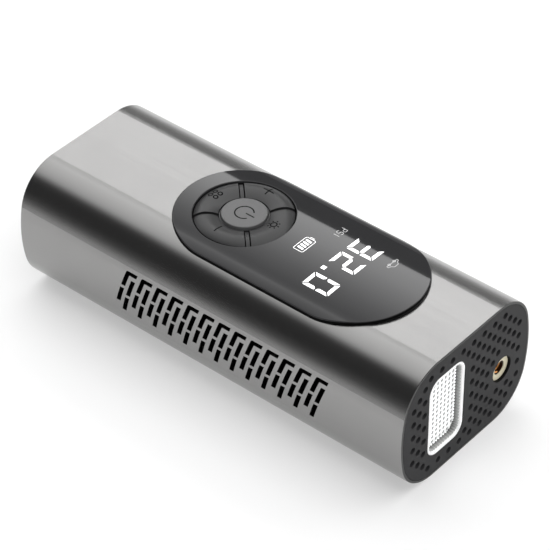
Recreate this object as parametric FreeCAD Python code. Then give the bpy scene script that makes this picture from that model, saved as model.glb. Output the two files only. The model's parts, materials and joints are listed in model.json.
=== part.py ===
import FreeCAD, Part
import math
import os

V = FreeCAD.Vector
os.makedirs("parts", exist_ok=True)

# Cordless hand-held air pump for mattresses, balls and tyres.
# Frame: +X is the front end with the lamp and the air outlet, +Z is up, and the
# origin is the middle of the underside. All dimensions are in millimetres.

# ---------------------------------------------------------------- driving dimensions
# Aluminium tube that is the body: flat top and bottom, rounded corners, bulged sides.
LENGTH = 165.0
WIDTH = 67.2
HEIGHT = 48.26
FLAT_HALF = 16.2          # half width of the flat top and bottom
CORNER_R = 16.6
WALL = 2.0
RIM = 1.0                 # wall left round each end cap
CAP_T = 3.0
CAP_GAP = 0.15            # dark line between the rim and the cap
EDGE = 0.3                # rounding of the tube's ends and of the panel plate's ring hole
FIT_GAP = 0.05            # between a part and the housing that it is pushed into

# Control panel: a capsule-shaped plate on the flat top, crowned across its width.
PANEL_X0 = -10.1          # centre of the rear arc, and of the buttons
PANEL_X1 = 37.5           # centre of the front arc
PANEL_R = 23.8
PANEL_RISE = 1.5          # above the tube's flat
PANEL_CROWN = 0.85        # how much lower the long edges are than the middle
PANEL_LIP = 0.8           # rounding of the plate's outer top edge
WINDOW_T = 1.0
FRAME_R = 22.95
PLUG_R = 21.0             # the part of the panel frame that goes through the tube
PLUG_FLOOR = 43.2
DISPLAY = (14.0, 55.0, 17.5)   # rear, front and half width of the lit display

# Buttons: a ring of four round a power button.
RING_R = 16.8
RING_IN = 8.6
RING_HOLE_R = 17.2
POWER_R = 7.75
RIB = 1.2                 # ribs between the four ring buttons
RIB_SINK = 0.6            # how far the ribs lie below the buttons' domes
RING_CREST_R = 13.3
RING_RISE = (-0.7, 0.65, -0.6)   # outer edge, crest and inner edge, from the plate's top
BUTTON_GAP = 0.4
BUTTON_TRAVEL = 0.5
STEM_R = 1.3
SWITCH_RING = 13.0        # radius that the four switches stand on

# Side vents: slanted slots in pairs, the rear one of each pair hooked over at the top.
VENT_COUNT = 13
VENT_PITCH = 6.775
VENT_FIRST = -38.4        # rear lower corner of the first slot
VENT_SLANT = 0.34         # forward lean, dx per dz
SLOT_W = 1.8

# Front cap: staggered air holes, a lamp and the air outlet.
HOLE_R = 1.2
HOLE_STEP = 2.75
HOLE_MARGIN = 4.4         # nearest that a hole's centre comes to the body's outline
LAMP_Y = (-19.6, -1.3)
LAMP_Z = (8.3, 40.5)
LAMP_CORNER = 5.0
LAMP_WALL = 1.3
LENS_SINK = 2.6
LAMP_DEPTH = 9.5          # behind the front cap's inner face
OUTLET_Y = 19.15
OUTLET_Z = 20.7
OUTLET_R = 4.75
OUTLET_SINK = 1.5
THREAD_R = 2.2
THREAD_LENGTH = 11.0

# Compressor: motor, one pair of gears, and a crank that drives the piston along X
# through a slotted yoke. The motor and gear axes run along Y.
MODULE = 0.8
GEAR_TEETH = 36
PINION_TEETH = 9
PRESSURE_ANGLE = math.radians(25.0)
ADDENDUM = 0.8            # of the module: stub teeth, so that nine do not undercut
DEDENDUM = 1.05
BACKLASH = 0.10           # taken off each tooth's width
MOTOR_X = 2.5
CENTRE_DISTANCE = MODULE * (GEAR_TEETH + PINION_TEETH) / 2.0
GEAR_X = MOTOR_X + CENTRE_DISTANCE
DRIVE_Z = OUTLET_Z        # motor, gear, cylinder and outlet share one height
GEAR_Y = (9.2, 14.0)
CRANK_R = 6.0             # half the piston's stroke
CRANK_DISC_R = 9.4
CRANK_DISC_Y = 15.6
CRANK_PIN_R = 1.5
RIVET_R = 1.1
ROLLER_R = 2.5
AXLE_R = 1.5
RUNNING = 0.05            # radial clearance of what turns or slides
PLATE_Y = (5.5, 8.5)      # the gear frame's plate
FRAME_WALL_X = (36.5, 39.5)
YOKE_Y = (16.7, 21.6)
YOKE_HALF = 4.8
ROD_R = 2.0
PISTON_X = (52.5, 59.3)
BORE_R = 8.0
CYLINDER_R = 11.2
CYLINDER_END = 60.0
HEAD_X = (60.4, 66.0)
BOSS_R = 6.0
BOSS_END = 72.0
SEAT_X = 62.0             # where the outlet valve closes
CHAMBER_R = 3.0
FITTING_TAIL = 69.0

MOTOR_R = 12.2
MOTOR_BACK = -23.5
BELL_Y = -19.0
SHAFT_R = 1.15
FAN_R = 8.6
FAN_Y = (-28.6, -25.2)

# Battery: three round cells side by side behind the motor.
CELL_R = 9.15
CELL_LENGTH = 65.0
CELL_X0 = -78.1
CELL_PITCH = 18.8
CELL_Z = 15.0
STRIP_T = 0.3

TRAY_TOP = 14.0
TRAY_T = 1.4
BOARD_T = 1.6
CONTROL_Z = 40.4
MAIN_BOARD = (-77.5, -13.0, 24.0, 30.0)   # rear, front, half width, underside
BOARD_POST_Y = 20.0
LEAD_R = 0.6
SCREW_Y = 27.5
USB_W = 9.0
USB_H = 3.2

MID_Z = HEIGHT / 2.0
FRONT = LENGTH / 2.0
REAR = -FRONT
PANEL_TOP = HEIGHT + PANEL_RISE
CAP_X = FRONT - CAP_T
SLIDE_Y = OUTLET_Y        # the piston's line
X = V(1, 0, 0)
Y = V(0, 1, 0)
Z = V(0, 0, 1)


# ---------------------------------------------------------------- helpers
def save(name, shape):
    shape.exportStep("parts/" + name + ".step")
    print(name, len(shape.Solids), round(shape.Volume, 2))


def box(x0, x1, y0, y1, z0, z1):
    return Part.makeBox(x1 - x0, y1 - y0, z1 - z0, V(x0, y0, z0))


def rod_x(r, x0, x1, y, z):
    return Part.makeCylinder(r, x1 - x0, V(x0, y, z), X)


def rod_y(r, y0, y1, x, z=DRIVE_Z):
    return Part.makeCylinder(r, y1 - y0, V(x, y0, z), Y)


def rod_z(r, z0, z1, x, y):
    return Part.makeCylinder(r, z1 - z0, V(x, y, z0), Z)


def joined(shapes):
    first, rest = shapes[0], shapes[1:]
    return first.fuse(rest).removeSplitter() if rest else first


def prism(points, direction):
    return Part.Face(Part.makePolygon(points + [points[0]])).extrude(direction)


def section_face(inset, x):
    """The body's cross section, moved inwards by inset, in the plane at x."""
    low = HEIGHT / 2.0 - CORNER_R
    across = WIDTH / 2.0 - FLAT_HALF
    side_r = (across**2 + low**2 - CORNER_R**2) / (2.0 * (across - CORNER_R))
    side_y = side_r - WIDTH / 2.0
    lean = math.atan2(low, FLAT_HALF + side_y)
    edges = []

    def arc(cy, cz, r, a0, a1):
        spots = []
        for a in (a0, (a0 + a1) / 2.0, a1):
            spots.append(V(x, cy + r * math.cos(a), cz + r * math.sin(a)))
        edges.append(Part.Arc(*spots).toShape())

    def flat(z, y0, y1):
        edges.append(Part.makeLine(V(x, y0, z), V(x, y1, z)))

    r, big = CORNER_R - inset, side_r - inset
    half = math.pi / 2.0
    arc(-side_y, MID_Z, big, -lean, lean)
    arc(FLAT_HALF, MID_Z + low, r, lean, half)
    flat(HEIGHT - inset, FLAT_HALF, -FLAT_HALF)
    arc(-FLAT_HALF, MID_Z + low, r, half, math.pi - lean)
    arc(side_y, MID_Z, big, math.pi - lean, math.pi + lean)
    arc(-FLAT_HALF, MID_Z - low, r, math.pi + lean, 3 * half)
    flat(inset, -FLAT_HALF, FLAT_HALF)
    arc(FLAT_HALF, MID_Z - low, r, 3 * half, 2 * math.pi - lean)
    return Part.Face(Part.Wire(edges))


def tube_solid(inset, x0, x1):
    return section_face(inset, x0).extrude(V(x1 - x0, 0, 0))


def capsule(r, z0, z1, x0=PANEL_X0, x1=PANEL_X1):
    edges = [
        Part.makeLine(V(x0, -r, z0), V(x1, -r, z0)),
        Part.Arc(V(x1, -r, z0), V(x1 + r, 0, z0), V(x1, r, z0)).toShape(),
        Part.makeLine(V(x1, r, z0), V(x0, r, z0)),
        Part.Arc(V(x0, r, z0), V(x0 - r, 0, z0), V(x0, -r, z0)).toShape(),
    ]
    return Part.Face(Part.Wire(edges)).extrude(V(0, 0, z1 - z0))


def under_crown(top):
    """Everything below the panel's crowned surface whose highest line is at top."""
    r = (PANEL_R**2 + PANEL_CROWN**2) / (2.0 * PANEL_CROWN)
    return Part.makeCylinder(r, LENGTH, V(REAR, 0, top - r), X)


def rounded_x(y0, y1, z0, z1, corner, x0, x1):
    """A block along X whose outline has rounded corners."""
    block = box(x0, x1, y0, y1, z0, z1)
    along = [e for e in block.Edges if abs(e.tangentAt(e.FirstParameter).x) > 0.9]
    return block.makeFillet(corner, along)


def lamp_block(inset, x0, x1):
    return rounded_x(LAMP_Y[0] + inset, LAMP_Y[1] - inset, LAMP_Z[0] + inset,
                     LAMP_Z[1] - inset, LAMP_CORNER - inset, x0, x1)


def in_lamp(y, z, margin):
    """Whether a point of the front cap is within margin of the lamp's outline."""
    corner = LAMP_CORNER + margin
    dy = max(LAMP_Y[0] - margin + corner - y, y - LAMP_Y[1] - margin + corner, 0.0)
    dz = max(LAMP_Z[0] - margin + corner - z, z - LAMP_Z[1] - margin + corner, 0.0)
    return math.hypot(dy, dz) < corner


def gear_teeth(teeth, turn, y0, y1, x):
    """An involute spur gear on an axis along Y; turn is where its first tooth points."""
    pitch = MODULE * teeth / 2.0
    base = pitch * math.cos(PRESSURE_ANGLE)
    tip = pitch + ADDENDUM * MODULE
    root = pitch - DEDENDUM * MODULE
    inv_pitch = math.tan(PRESSURE_ANGLE) - PRESSURE_ANGLE
    half_width = (math.pi * MODULE / 2.0 - BACKLASH) / (2.0 * pitch)
    flank = []
    start = max(base, root)
    for i in range(7):
        r = start + (tip - start) * i / 6.0
        a = math.acos(min(1.0, base / r))
        flank.append((r, half_width + inv_pitch - (math.tan(a) - a)))
    outline = []
    for k in range(teeth):
        middle = turn + 2.0 * math.pi * k / teeth
        rising = [(root, flank[0][1])] if root < base else []
        rising = rising + flank
        for r, a in rising:
            outline.append((r, middle - a))
        for r, a in reversed(rising):
            outline.append((r, middle + a))
    points = [V(x + r * math.cos(a), y0, DRIVE_Z + r * math.sin(a)) for r, a in outline]
    return prism(points, V(0, y1 - y0, 0))


def wire_run(points, r, bend):
    """A round lead along straight runs joined by arcs."""
    edges, here = [], points[0]
    for before, corner, after in zip(points, points[1:], points[2:]):
        u = (before - corner).normalize()
        w = (after - corner).normalize()
        half = u.getAngle(w) / 2.0
        reach = bend / math.tan(half)
        p, q = corner + u * reach, corner + w * reach
        middle = corner + (u + w).normalize() * (bend / math.sin(half) - bend)
        edges.append(Part.makeLine(here, p))
        edges.append(Part.Arc(p, middle, q).toShape())
        here = q
    edges.append(Part.makeLine(here, points[-1]))
    start = Part.Wire(Part.makeCircle(r, points[0], points[1] - points[0]))
    return Part.Wire(edges).makePipeShell([start], True, False)


# ---------------------------------------------------------------- housing
def vent_tools():
    """One column of slots, as solids that go right through a side wall."""
    bridge = 1.2

    def slot(x, z, height):
        lean = VENT_SLANT * height
        spots = [(x, z), (x + SLOT_W, z), (x + SLOT_W + lean, z + height), (x + lean, z + height)]
        return prism([V(a, -WIDTH, c) for a, c in spots], V(0, 2 * WIDTH, 0))

    rear_z, front_z = 19.1, 15.5
    dash = 6.7
    upper = rear_z + dash + bridge
    bar_low, bar_top = 32.1, 33.6
    x_rear = VENT_FIRST
    x_front = VENT_FIRST + 2.05
    x_upper = x_rear + VENT_SLANT * (upper - rear_z)
    leg_top = x_upper + VENT_SLANT * (bar_top - upper)
    bar_end = leg_top + 4.9
    tip_lean = VENT_SLANT * (bar_top - bar_low)
    hook = prism([V(a, -WIDTH, c) for a, c in (
        (x_upper, upper), (x_upper + SLOT_W, upper),
        (x_upper + SLOT_W + VENT_SLANT * (bar_low - upper), bar_low),
        (bar_end - tip_lean, bar_low), (bar_end, bar_top), (leg_top, bar_top))],
        V(0, 2 * WIDTH, 0))
    corner = [e for e in hook.Edges
              if abs(e.tangentAt(e.FirstParameter).y) > 0.9
              and abs(e.CenterOfMass.x - leg_top) < 0.1 and abs(e.CenterOfMass.z - bar_top) < 0.1]
    hook = hook.makeFillet(1.0, corner)
    x_next = x_front + VENT_SLANT * (dash + bridge)
    return [slot(x_rear, rear_z, dash), hook, slot(x_front, front_z, dash),
            slot(x_next, front_z + dash + bridge, dash + 0.4)]


def end_edges(shape, x):
    return [e for e in shape.Edges if e.BoundBox.XLength < 0.001 and abs(e.BoundBox.XMin - x) < 0.001]


def body_shell():
    shell = tube_solid(0, REAR, FRONT)
    shell = shell.makeFillet(EDGE, end_edges(shell, REAR) + end_edges(shell, FRONT))
    shell = shell.cut(tube_solid(WALL, REAR - 1, FRONT + 1))
    for x0, x1 in ((REAR - 1, REAR + CAP_T), (FRONT - CAP_T, FRONT + 1)):
        shell = shell.cut(tube_solid(RIM, x0, x1))
    shell = shell.cut(capsule(PLUG_R + 0.3, MID_Z, HEIGHT + 1))
    slots = []
    for i in range(VENT_COUNT):
        for tool in vent_tools():
            copy = tool.copy()
            copy.translate(V(i * VENT_PITCH, 0, 0))
            slots.append(copy)
    return shell.cut(Part.makeCompound(slots))


def front_cap():
    cap = tube_solid(RIM + CAP_GAP, CAP_X, FRONT)
    cap = cap.cut(lamp_block(-FIT_GAP, CAP_X - 1, FRONT + 1))
    cap = cap.cut(rod_x(OUTLET_R + 0.1, CAP_X - 1, FRONT + 1, OUTLET_Y, OUTLET_Z))
    allowed = section_face(HOLE_MARGIN, FRONT)
    holes = []
    for row in range(-7, 8):
        for column in range(-11, 12):
            y, z = HOLE_STEP * column, MID_Z + HOLE_STEP * row
            staggered = (row + column) % 2 == 0
            clear = (not in_lamp(y, z, 1.8)
                     and math.hypot(y - OUTLET_Y, z - OUTLET_Z) > 7.8)
            if staggered and clear and allowed.isInside(V(FRONT, y, z), 0.01, True):
                holes.append(rod_x(HOLE_R, CAP_X - 1, FRONT + 1, y, z))
    print("front cap holes", len(holes))
    return cap.cut(Part.makeCompound(holes))


def rear_cap():
    cap = tube_solid(RIM + CAP_GAP, REAR, REAR + CAP_T)
    port_z = MAIN_BOARD[3] + BOARD_T + USB_H / 2.0
    port = rounded_x(-USB_W / 2 - 0.3, USB_W / 2 + 0.3, port_z - USB_H / 2 - 0.2,
                     port_z + USB_H / 2 + 0.2, 1.7, REAR - 1, REAR + CAP_T + 1)
    cap = cap.cut(port)
    for y in (-SCREW_Y, SCREW_Y):
        cap = cap.cut(rod_x(1.2, REAR - 1, REAR + CAP_T + 1, y, MID_Z))
        cap = cap.cut(rod_x(2.3, REAR - 1, REAR + 1.2, y, MID_Z))
    return cap


def rear_cap_screws():
    screws = []
    for y in (-SCREW_Y, SCREW_Y):
        head = rod_x(2.2, REAR + 0.2, REAR + 1.2, y, MID_Z)
        shank = rod_x(1.0, REAR + 1.2, REAR + 8.5, y, MID_Z)
        cross = box(REAR, REAR + 0.8, y - 1.3, y + 1.3, MID_Z - 0.3, MID_Z + 0.3)
        other = box(REAR, REAR + 0.8, y - 0.3, y + 0.3, MID_Z - 1.3, MID_Z + 1.3)
        screws.append(head.fuse(shank).removeSplitter().cut(cross).cut(other))
    return Part.makeCompound(screws)


def front_dust_filter():
    sheet = tube_solid(WALL + 0.3, CAP_X - 1.1, CAP_X - 0.1)
    sheet = sheet.cut(lamp_block(-0.3, CAP_X - 2, CAP_X))
    return sheet.cut(rod_x(6.6, CAP_X - 2, CAP_X, OUTLET_Y, OUTLET_Z))


def vent_mesh(side):
    sheet = tube_solid(WALL + FIT_GAP, -42.0, 57.0).cut(tube_solid(WALL + 0.5, -43.0, 58.0))
    y0, y1 = (-WIDTH, 0) if side < 0 else (0, WIDTH)
    return sheet.common(box(-42.0, 57.0, y0, y1, TRAY_TOP + 0.5, 35.5))


def chassis_tray():
    x0, x1 = REAR + CAP_T + 0.2, CAP_X - 1.3
    tray = tube_solid(WALL + FIT_GAP, x0, x1)
    tray = tray.cut(tube_solid(WALL + FIT_GAP + TRAY_T, x0 - 1, x1 + 1))
    tray = tray.common(box(x0, x1, -WIDTH, WIDTH, 0, TRAY_TOP))
    tray = tray.cut(rod_y(FAN_R + 1.6, -WIDTH, FAN_Y[1] + 1.5, MOTOR_X))
    return tray


# ---------------------------------------------------------------- control panel
def at_ring_hole(edge):
    spot = edge.valueAt((edge.FirstParameter + edge.LastParameter) / 2.0)
    return math.hypot(spot.x - PANEL_X0, spot.y) < RING_HOLE_R + EDGE


def display_window():
    plate = capsule(PANEL_R, HEIGHT - 4, PANEL_TOP + 2)
    plate = plate.common(under_crown(PANEL_TOP)).cut(under_crown(PANEL_TOP - WINDOW_T))
    plate = plate.cut(rod_z(RING_HOLE_R, HEIGHT - 5, PANEL_TOP + 3, PANEL_X0, 0))
    top = max(plate.Faces, key=lambda face: face.CenterOfMass.z)
    plate = plate.makeFillet(PANEL_LIP, [edge for edge in top.Edges if not at_ring_hole(edge)])
    top = max(plate.Faces, key=lambda face: face.CenterOfMass.z)
    return plate.makeFillet(EDGE, [edge for edge in top.Edges if at_ring_hole(edge)])


def display_space(inset, z0):
    """The room for the lit display: a box whose front follows the panel's arc."""
    rear, front, half = DISPLAY
    room = box(rear + inset, front - inset, inset - half, half - inset, z0, PANEL_TOP)
    return room.common(capsule(PLUG_R - 1.5 - inset, z0, PANEL_TOP))


def panel_frame():
    skirt = capsule(FRAME_R, HEIGHT - 4, PANEL_TOP).cut(tube_solid(0, REAR, FRONT))
    plug = capsule(PLUG_R, PLUG_FLOOR, PANEL_TOP)
    frame = skirt.fuse(plug).common(under_crown(PANEL_TOP - WINDOW_T)).removeSplitter()
    frame = frame.cut(rod_z(RING_HOLE_R, PLUG_FLOOR + 1.2, PANEL_TOP, PANEL_X0, 0))
    frame = frame.cut(display_space(0.0, PLUG_FLOOR - 1))
    for x, y in switch_places():
        frame = frame.cut(rod_z(STEM_R + 0.3, PLUG_FLOOR - 1, PANEL_TOP, x, y))
    for x, y in ((-24.0, -10.0), (-24.0, 10.0), (57.0, -3.0), (57.0, 3.0)):
        frame = frame.fuse(rod_z(1.5, CONTROL_Z + BOARD_T, PLUG_FLOOR + 0.5, x, y))
    return frame.removeSplitter()


def ring_profile(r_in, r_out, drop):
    """Domed cross section of the ring round the power button, as a turned solid."""
    outer_z, crest_z, inner_z = [PANEL_TOP + rise for rise in RING_RISE]
    floor = PANEL_TOP - 2.2

    def height(r):
        if r > RING_CREST_R:
            return crest_z - (crest_z - outer_z) * ((r - RING_CREST_R) / (RING_R - RING_CREST_R))**2
        return crest_z - (crest_z - inner_z) * ((RING_CREST_R - r) / (RING_CREST_R - RING_IN))**2

    steps = 14
    spots = [(r_in, floor)]
    for i in range(steps + 1):
        r = r_in + (r_out - r_in) * i / steps
        spots.append((r, height(r) - drop))
    spots.append((r_out, floor))
    curve = Part.BSplineCurve()
    curve.interpolate([V(PANEL_X0 + r, 0, z) for r, z in spots[1:-1]])
    corners = [V(PANEL_X0 + r, 0, z) for r, z in (spots[0], spots[1], spots[-2], spots[-1])]
    edges = [Part.makeLine(corners[0], corners[1]), curve.toShape(),
             Part.makeLine(corners[2], corners[3]), Part.makeLine(corners[3], corners[0])]
    face = Part.Face(Part.Wire(edges))
    return face.revolve(V(PANEL_X0, 0, 0), Z, 360)


def ribs(width, r0, r1, z0, z1):
    """Four bars between the ring buttons, on the diagonals."""
    bars = []
    for k in range(4):
        bar = box(r0, r1, -width / 2.0, width / 2.0, z0, z1)
        bar.rotate(V(0, 0, 0), Z, 45 + 90 * k)
        bar.translate(V(PANEL_X0, 0, 0))
        bars.append(bar)
    return bars


def switch_places():
    """Rear, left, right and front ring switches, then the one under the power button."""
    spots = [(PANEL_X0 - SWITCH_RING, 0), (PANEL_X0, -SWITCH_RING), (PANEL_X0, SWITCH_RING),
             (PANEL_X0 + SWITCH_RING, 0), (PANEL_X0, 0)]
    return spots


def button_bezel():
    """Fixed spider between the buttons: four ribs and the collar round the power button."""
    floor = PLUG_FLOOR + 1.3
    collar = rod_z(RING_IN - 0.25, floor, PANEL_TOP - 1.0, PANEL_X0, 0)
    collar = collar.cut(rod_z(POWER_R + 0.25, floor - 1, PANEL_TOP, PANEL_X0, 0))
    dome = ring_profile(RING_IN, RING_R, RIB_SINK)
    upper = Part.makeCompound(ribs(RIB, RING_IN - 0.3, RING_R, PANEL_TOP - 2.1, PANEL_TOP + 2))
    upper = dome.common(upper)
    lower = ribs(RIB, RING_IN - 0.3, RING_R, floor, PANEL_TOP - 2.0)
    return joined([collar, upper] + lower)


def ring_button(angle):
    """One quarter of the ring, with the stem that presses its switch."""
    ring = ring_profile(RING_IN, RING_R, 0.0)
    reach = 30.0
    wedge = prism([V(0, 0, HEIGHT - 6), V(reach, -reach, HEIGHT - 6), V(reach, reach, HEIGHT - 6)],
                  V(0, 0, 12))
    wedge.rotate(V(0, 0, 0), Z, angle)
    wedge.translate(V(PANEL_X0, 0, 0))
    button = ring.common(wedge)
    button = button.cut(Part.makeCompound(
        ribs(RIB + 2 * BUTTON_GAP, 0, reach, HEIGHT - 6, PANEL_TOP + 3)))
    a = math.radians(angle)
    x, y = PANEL_X0 + SWITCH_RING * math.cos(a), SWITCH_RING * math.sin(a)
    stem = rod_z(STEM_R, switch_top() + BUTTON_TRAVEL + 0.1, PANEL_TOP - 2.0, x, y)
    return button.fuse(stem).removeSplitter()


def power_button():
    top = PANEL_TOP + 0.1
    cap = rod_z(POWER_R, PANEL_TOP - 2.2, top, PANEL_X0, 0)
    rim = [e for e in cap.Edges if abs(e.CenterOfMass.z - top) < 0.01]
    cap = cap.makeFillet(0.35, rim)
    stem = rod_z(STEM_R, switch_top() + BUTTON_TRAVEL + 0.1, PANEL_TOP - 2.0, PANEL_X0, 0)
    return cap.fuse(stem).removeSplitter()


def switch_top():
    return CONTROL_Z + BOARD_T + 2.4


def tact_switches():
    switches = []
    z0 = CONTROL_Z + BOARD_T
    for x, y in switch_places():
        body = box(x - 1.4, x + 1.4, y - 1.4, y + 1.4, z0, z0 + 1.1)
        switches.append(body.fuse(rod_z(0.9, z0 + 1.1, switch_top(), x, y)).removeSplitter())
    return Part.makeCompound(switches)


def control_board():
    return capsule(19.0, CONTROL_Z, CONTROL_Z + BOARD_T)


def display_module():
    block = display_space(0.3, CONTROL_Z + BOARD_T)
    return block.common(under_crown(PANEL_TOP - WINDOW_T - 0.1))


# ---------------------------------------------------------------- lamp
def lamp_bezel():
    body = lamp_block(0, CAP_X - LAMP_DEPTH, FRONT)
    return body.cut(lamp_block(LAMP_WALL, CAP_X - LAMP_DEPTH - 1, FRONT + 1))


def lamp_lens():
    return lamp_block(LAMP_WALL + FIT_GAP, FRONT - LENS_SINK - 1.5, FRONT - LENS_SINK)


def lamp_reflector():
    back, front = CAP_X - LAMP_DEPTH, FRONT - LENS_SINK - 1.6
    tray = lamp_block(LAMP_WALL + FIT_GAP, back, front)
    return tray.cut(lamp_block(LAMP_WALL + 1.0, back - 1, front + 1))


def lamp_board():
    back = CAP_X - LAMP_DEPTH - BOARD_T
    board = lamp_block(0.4, back, back + BOARD_T - 0.05)
    for y in (-14.5, -10.45, -6.4):
        for z in (15.0, 21.3, 27.6, 33.9):
            board = board.fuse(box(back + 1, back + BOARD_T + 0.8, y - 1.2, y + 1.2, z - 1.2, z + 1.2))
    return board.removeSplitter()


def lamp_heat_sink():
    back = CAP_X - LAMP_DEPTH - BOARD_T
    sink = box(back - 5.0, back - 0.05, LAMP_Y[0] + 2, LAMP_Y[1] - 2, LAMP_Z[0] + 3, LAMP_Z[1] - 4)
    for i in range(5):
        z = LAMP_Z[0] + 5.0 + 4.7 * i
        sink = sink.cut(box(back - 6.0, back - 1.8, LAMP_Y[0], LAMP_Y[1], z, z + 2.6))
    return sink


# ---------------------------------------------------------------- air outlet
def outlet_fitting():
    face = FRONT - OUTLET_SINK
    fitting = rod_x(OUTLET_R, CAP_X - 1.2, face, OUTLET_Y, OUTLET_Z)
    fitting = fitting.fuse(rod_x(6.2, CAP_X - 3.5, CAP_X - 1.1, OUTLET_Y, OUTLET_Z))
    fitting = fitting.fuse(rod_x(4.0, BOSS_END, CAP_X - 3.4, OUTLET_Y, OUTLET_Z))
    fitting = fitting.fuse(rod_x(3.57, FITTING_TAIL, BOSS_END + 0.1, OUTLET_Y, OUTLET_Z))
    fitting = fitting.cut(rod_x(THREAD_R, face - THREAD_LENGTH, face + 1, OUTLET_Y, OUTLET_Z))
    mouth = Part.makeCone(THREAD_R, THREAD_R + 0.5, 0.5, V(face - 0.5, OUTLET_Y, OUTLET_Z), X)
    fitting = fitting.cut(mouth)
    fitting = fitting.cut(rod_x(1.3, FITTING_TAIL - 1, face, OUTLET_Y, OUTLET_Z))
    return fitting.removeSplitter()


def outlet_o_ring():
    return Part.makeTorus(5.4, 0.5, V(CAP_X - 0.55, OUTLET_Y, OUTLET_Z), X)


def valve_poppet():
    poppet = rod_x(2.3, SEAT_X + 0.02, SEAT_X + 1.2, OUTLET_Y, OUTLET_Z)
    return poppet.fuse(rod_x(1.1, SEAT_X + 1.1, SEAT_X + 3.8, OUTLET_Y, OUTLET_Z)).removeSplitter()


def valve_spring():
    start, end = SEAT_X + 1.45, FITTING_TAIL - 0.25
    helix = Part.makeHelix((end - start) / 5.0, end - start, 1.85)
    wire_r = 0.22
    circle = Part.Wire(Part.makeCircle(wire_r, V(1.85, 0, 0), V(0, 1, 0)))
    coil = Part.Wire(helix).makePipeShell([circle], True, True)
    coil.rotate(V(0, 0, 0), Y, 90)
    coil.translate(V(start, OUTLET_Y, OUTLET_Z))
    return coil


# ---------------------------------------------------------------- compressor
def motor_can():
    can = rod_y(MOTOR_R, BELL_Y, PLATE_Y[0], MOTOR_X)
    can = can.fuse(rod_y(4.0, PLATE_Y[0], PLATE_Y[0] + 1.5, MOTOR_X))
    flat = MOTOR_R - 1.2
    for z0, z1 in ((DRIVE_Z + flat, DRIVE_Z + 20), (DRIVE_Z - 20, DRIVE_Z - flat)):
        can = can.cut(box(MOTOR_X - 20, MOTOR_X + 20, BELL_Y - 1, PLATE_Y[0], z0, z1))
    can = can.cut(rod_y(SHAFT_R + 0.3, BELL_Y - 1, PLATE_Y[1], MOTOR_X))
    for side in (-1, 1):
        can = can.cut(rod_y(1.3, PLATE_Y[0] - 3, PLATE_Y[0] + 1, MOTOR_X, DRIVE_Z + side * 8.0))
    return can.removeSplitter()


def motor_end_bell():
    bell = rod_y(MOTOR_R - 1.25, MOTOR_BACK, BELL_Y, MOTOR_X)
    rim = [e for e in bell.Edges if abs(e.CenterOfMass.y - MOTOR_BACK) < 0.01]
    bell = bell.makeFillet(1.0, rim)
    return bell.cut(rod_y(SHAFT_R + 0.3, MOTOR_BACK - 1, BELL_Y + 1, MOTOR_X))


def motor_shaft():
    return rod_y(SHAFT_R, FAN_Y[0], GEAR_Y[1] + 0.6, MOTOR_X)


def motor_pinion():
    teeth = gear_teeth(PINION_TEETH, 0.0, GEAR_Y[0] - 0.2, GEAR_Y[1] + 0.2, MOTOR_X)
    return teeth.cut(rod_y(SHAFT_R, 0, 20, MOTOR_X))


def cooling_fan():
    hub = rod_y(3.0, FAN_Y[0], FAN_Y[1], MOTOR_X)
    blades = []
    for k in range(7):
        blade = box(MOTOR_X + 2.5, MOTOR_X + FAN_R, FAN_Y[0] + 0.4, FAN_Y[1] - 0.4,
                    DRIVE_Z - 0.5, DRIVE_Z + 0.5)
        blade.rotate(V(MOTOR_X, (FAN_Y[0] + FAN_Y[1]) / 2, DRIVE_Z), X, 38)
        blade.rotate(V(MOTOR_X, 0, DRIVE_Z), Y, 360.0 * k / 7)
        blades.append(blade)
    fan = joined([hub] + blades)
    fan = fan.common(rod_y(FAN_R, FAN_Y[0], FAN_Y[1], MOTOR_X))
    return fan.cut(rod_y(SHAFT_R, -40, 0, MOTOR_X))


def gear_frame():
    plate = box(-11.0, FRAME_WALL_X[1], PLATE_Y[0], PLATE_Y[1], 5.0, 37.5)
    wall = box(FRAME_WALL_X[0], FRAME_WALL_X[1], PLATE_Y[0], SLIDE_Y, 9.7, 31.7)
    wall = wall.fuse(rod_x(CYLINDER_R, FRAME_WALL_X[0], FRAME_WALL_X[1], SLIDE_Y, DRIVE_Z))
    feet = [box(x, x + 9.0, -3.0, PLATE_Y[0] + 0.5, 5.0, 7.2) for x in (-11.0, 30.5)]
    frame = joined([plate, wall] + feet)
    frame = frame.cut(rod_y(4.0 + FIT_GAP, PLATE_Y[0] - 1, PLATE_Y[1] + 1, MOTOR_X))
    frame = frame.cut(rod_y(3.6, PLATE_Y[0] - 1, PLATE_Y[1] + 1, GEAR_X))
    for side in (-1, 1):
        frame = frame.cut(rod_y(1.3, PLATE_Y[0] - 1, PLATE_Y[1] + 1, MOTOR_X, DRIVE_Z + side * 8.0))
    frame = frame.cut(rod_x(3.5, FRAME_WALL_X[0] - 1, FRAME_WALL_X[1] + 1, SLIDE_Y, DRIVE_Z))
    for k in range(4):
        a = math.radians(45 + 90 * k)
        frame = frame.cut(rod_x(1.2, FRAME_WALL_X[0] - 1, FRAME_WALL_X[1] + 1,
                                SLIDE_Y + 5.7 * math.cos(a), DRIVE_Z + 5.7 * math.sin(a)))
    return frame


def motor_screws():
    screws = []
    for side in (-1, 1):
        z = DRIVE_Z + side * 8.0
        head = rod_y(2.2, PLATE_Y[1], PLATE_Y[1] + 0.6, MOTOR_X, z)
        screws.append(head.fuse(rod_y(1.25, PLATE_Y[0] - 2.5, PLATE_Y[1], MOTOR_X, z)).removeSplitter())
    return Part.makeCompound(screws)


def rubber_mounts():
    mounts = []
    for x in (-6.5, 35.0):
        for y in (-0.5, 6.5):
            mounts.append(rod_z(2.2, WALL + FIT_GAP + TRAY_T, 5.0, x, y))
    return Part.makeCompound(mounts)


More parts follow.
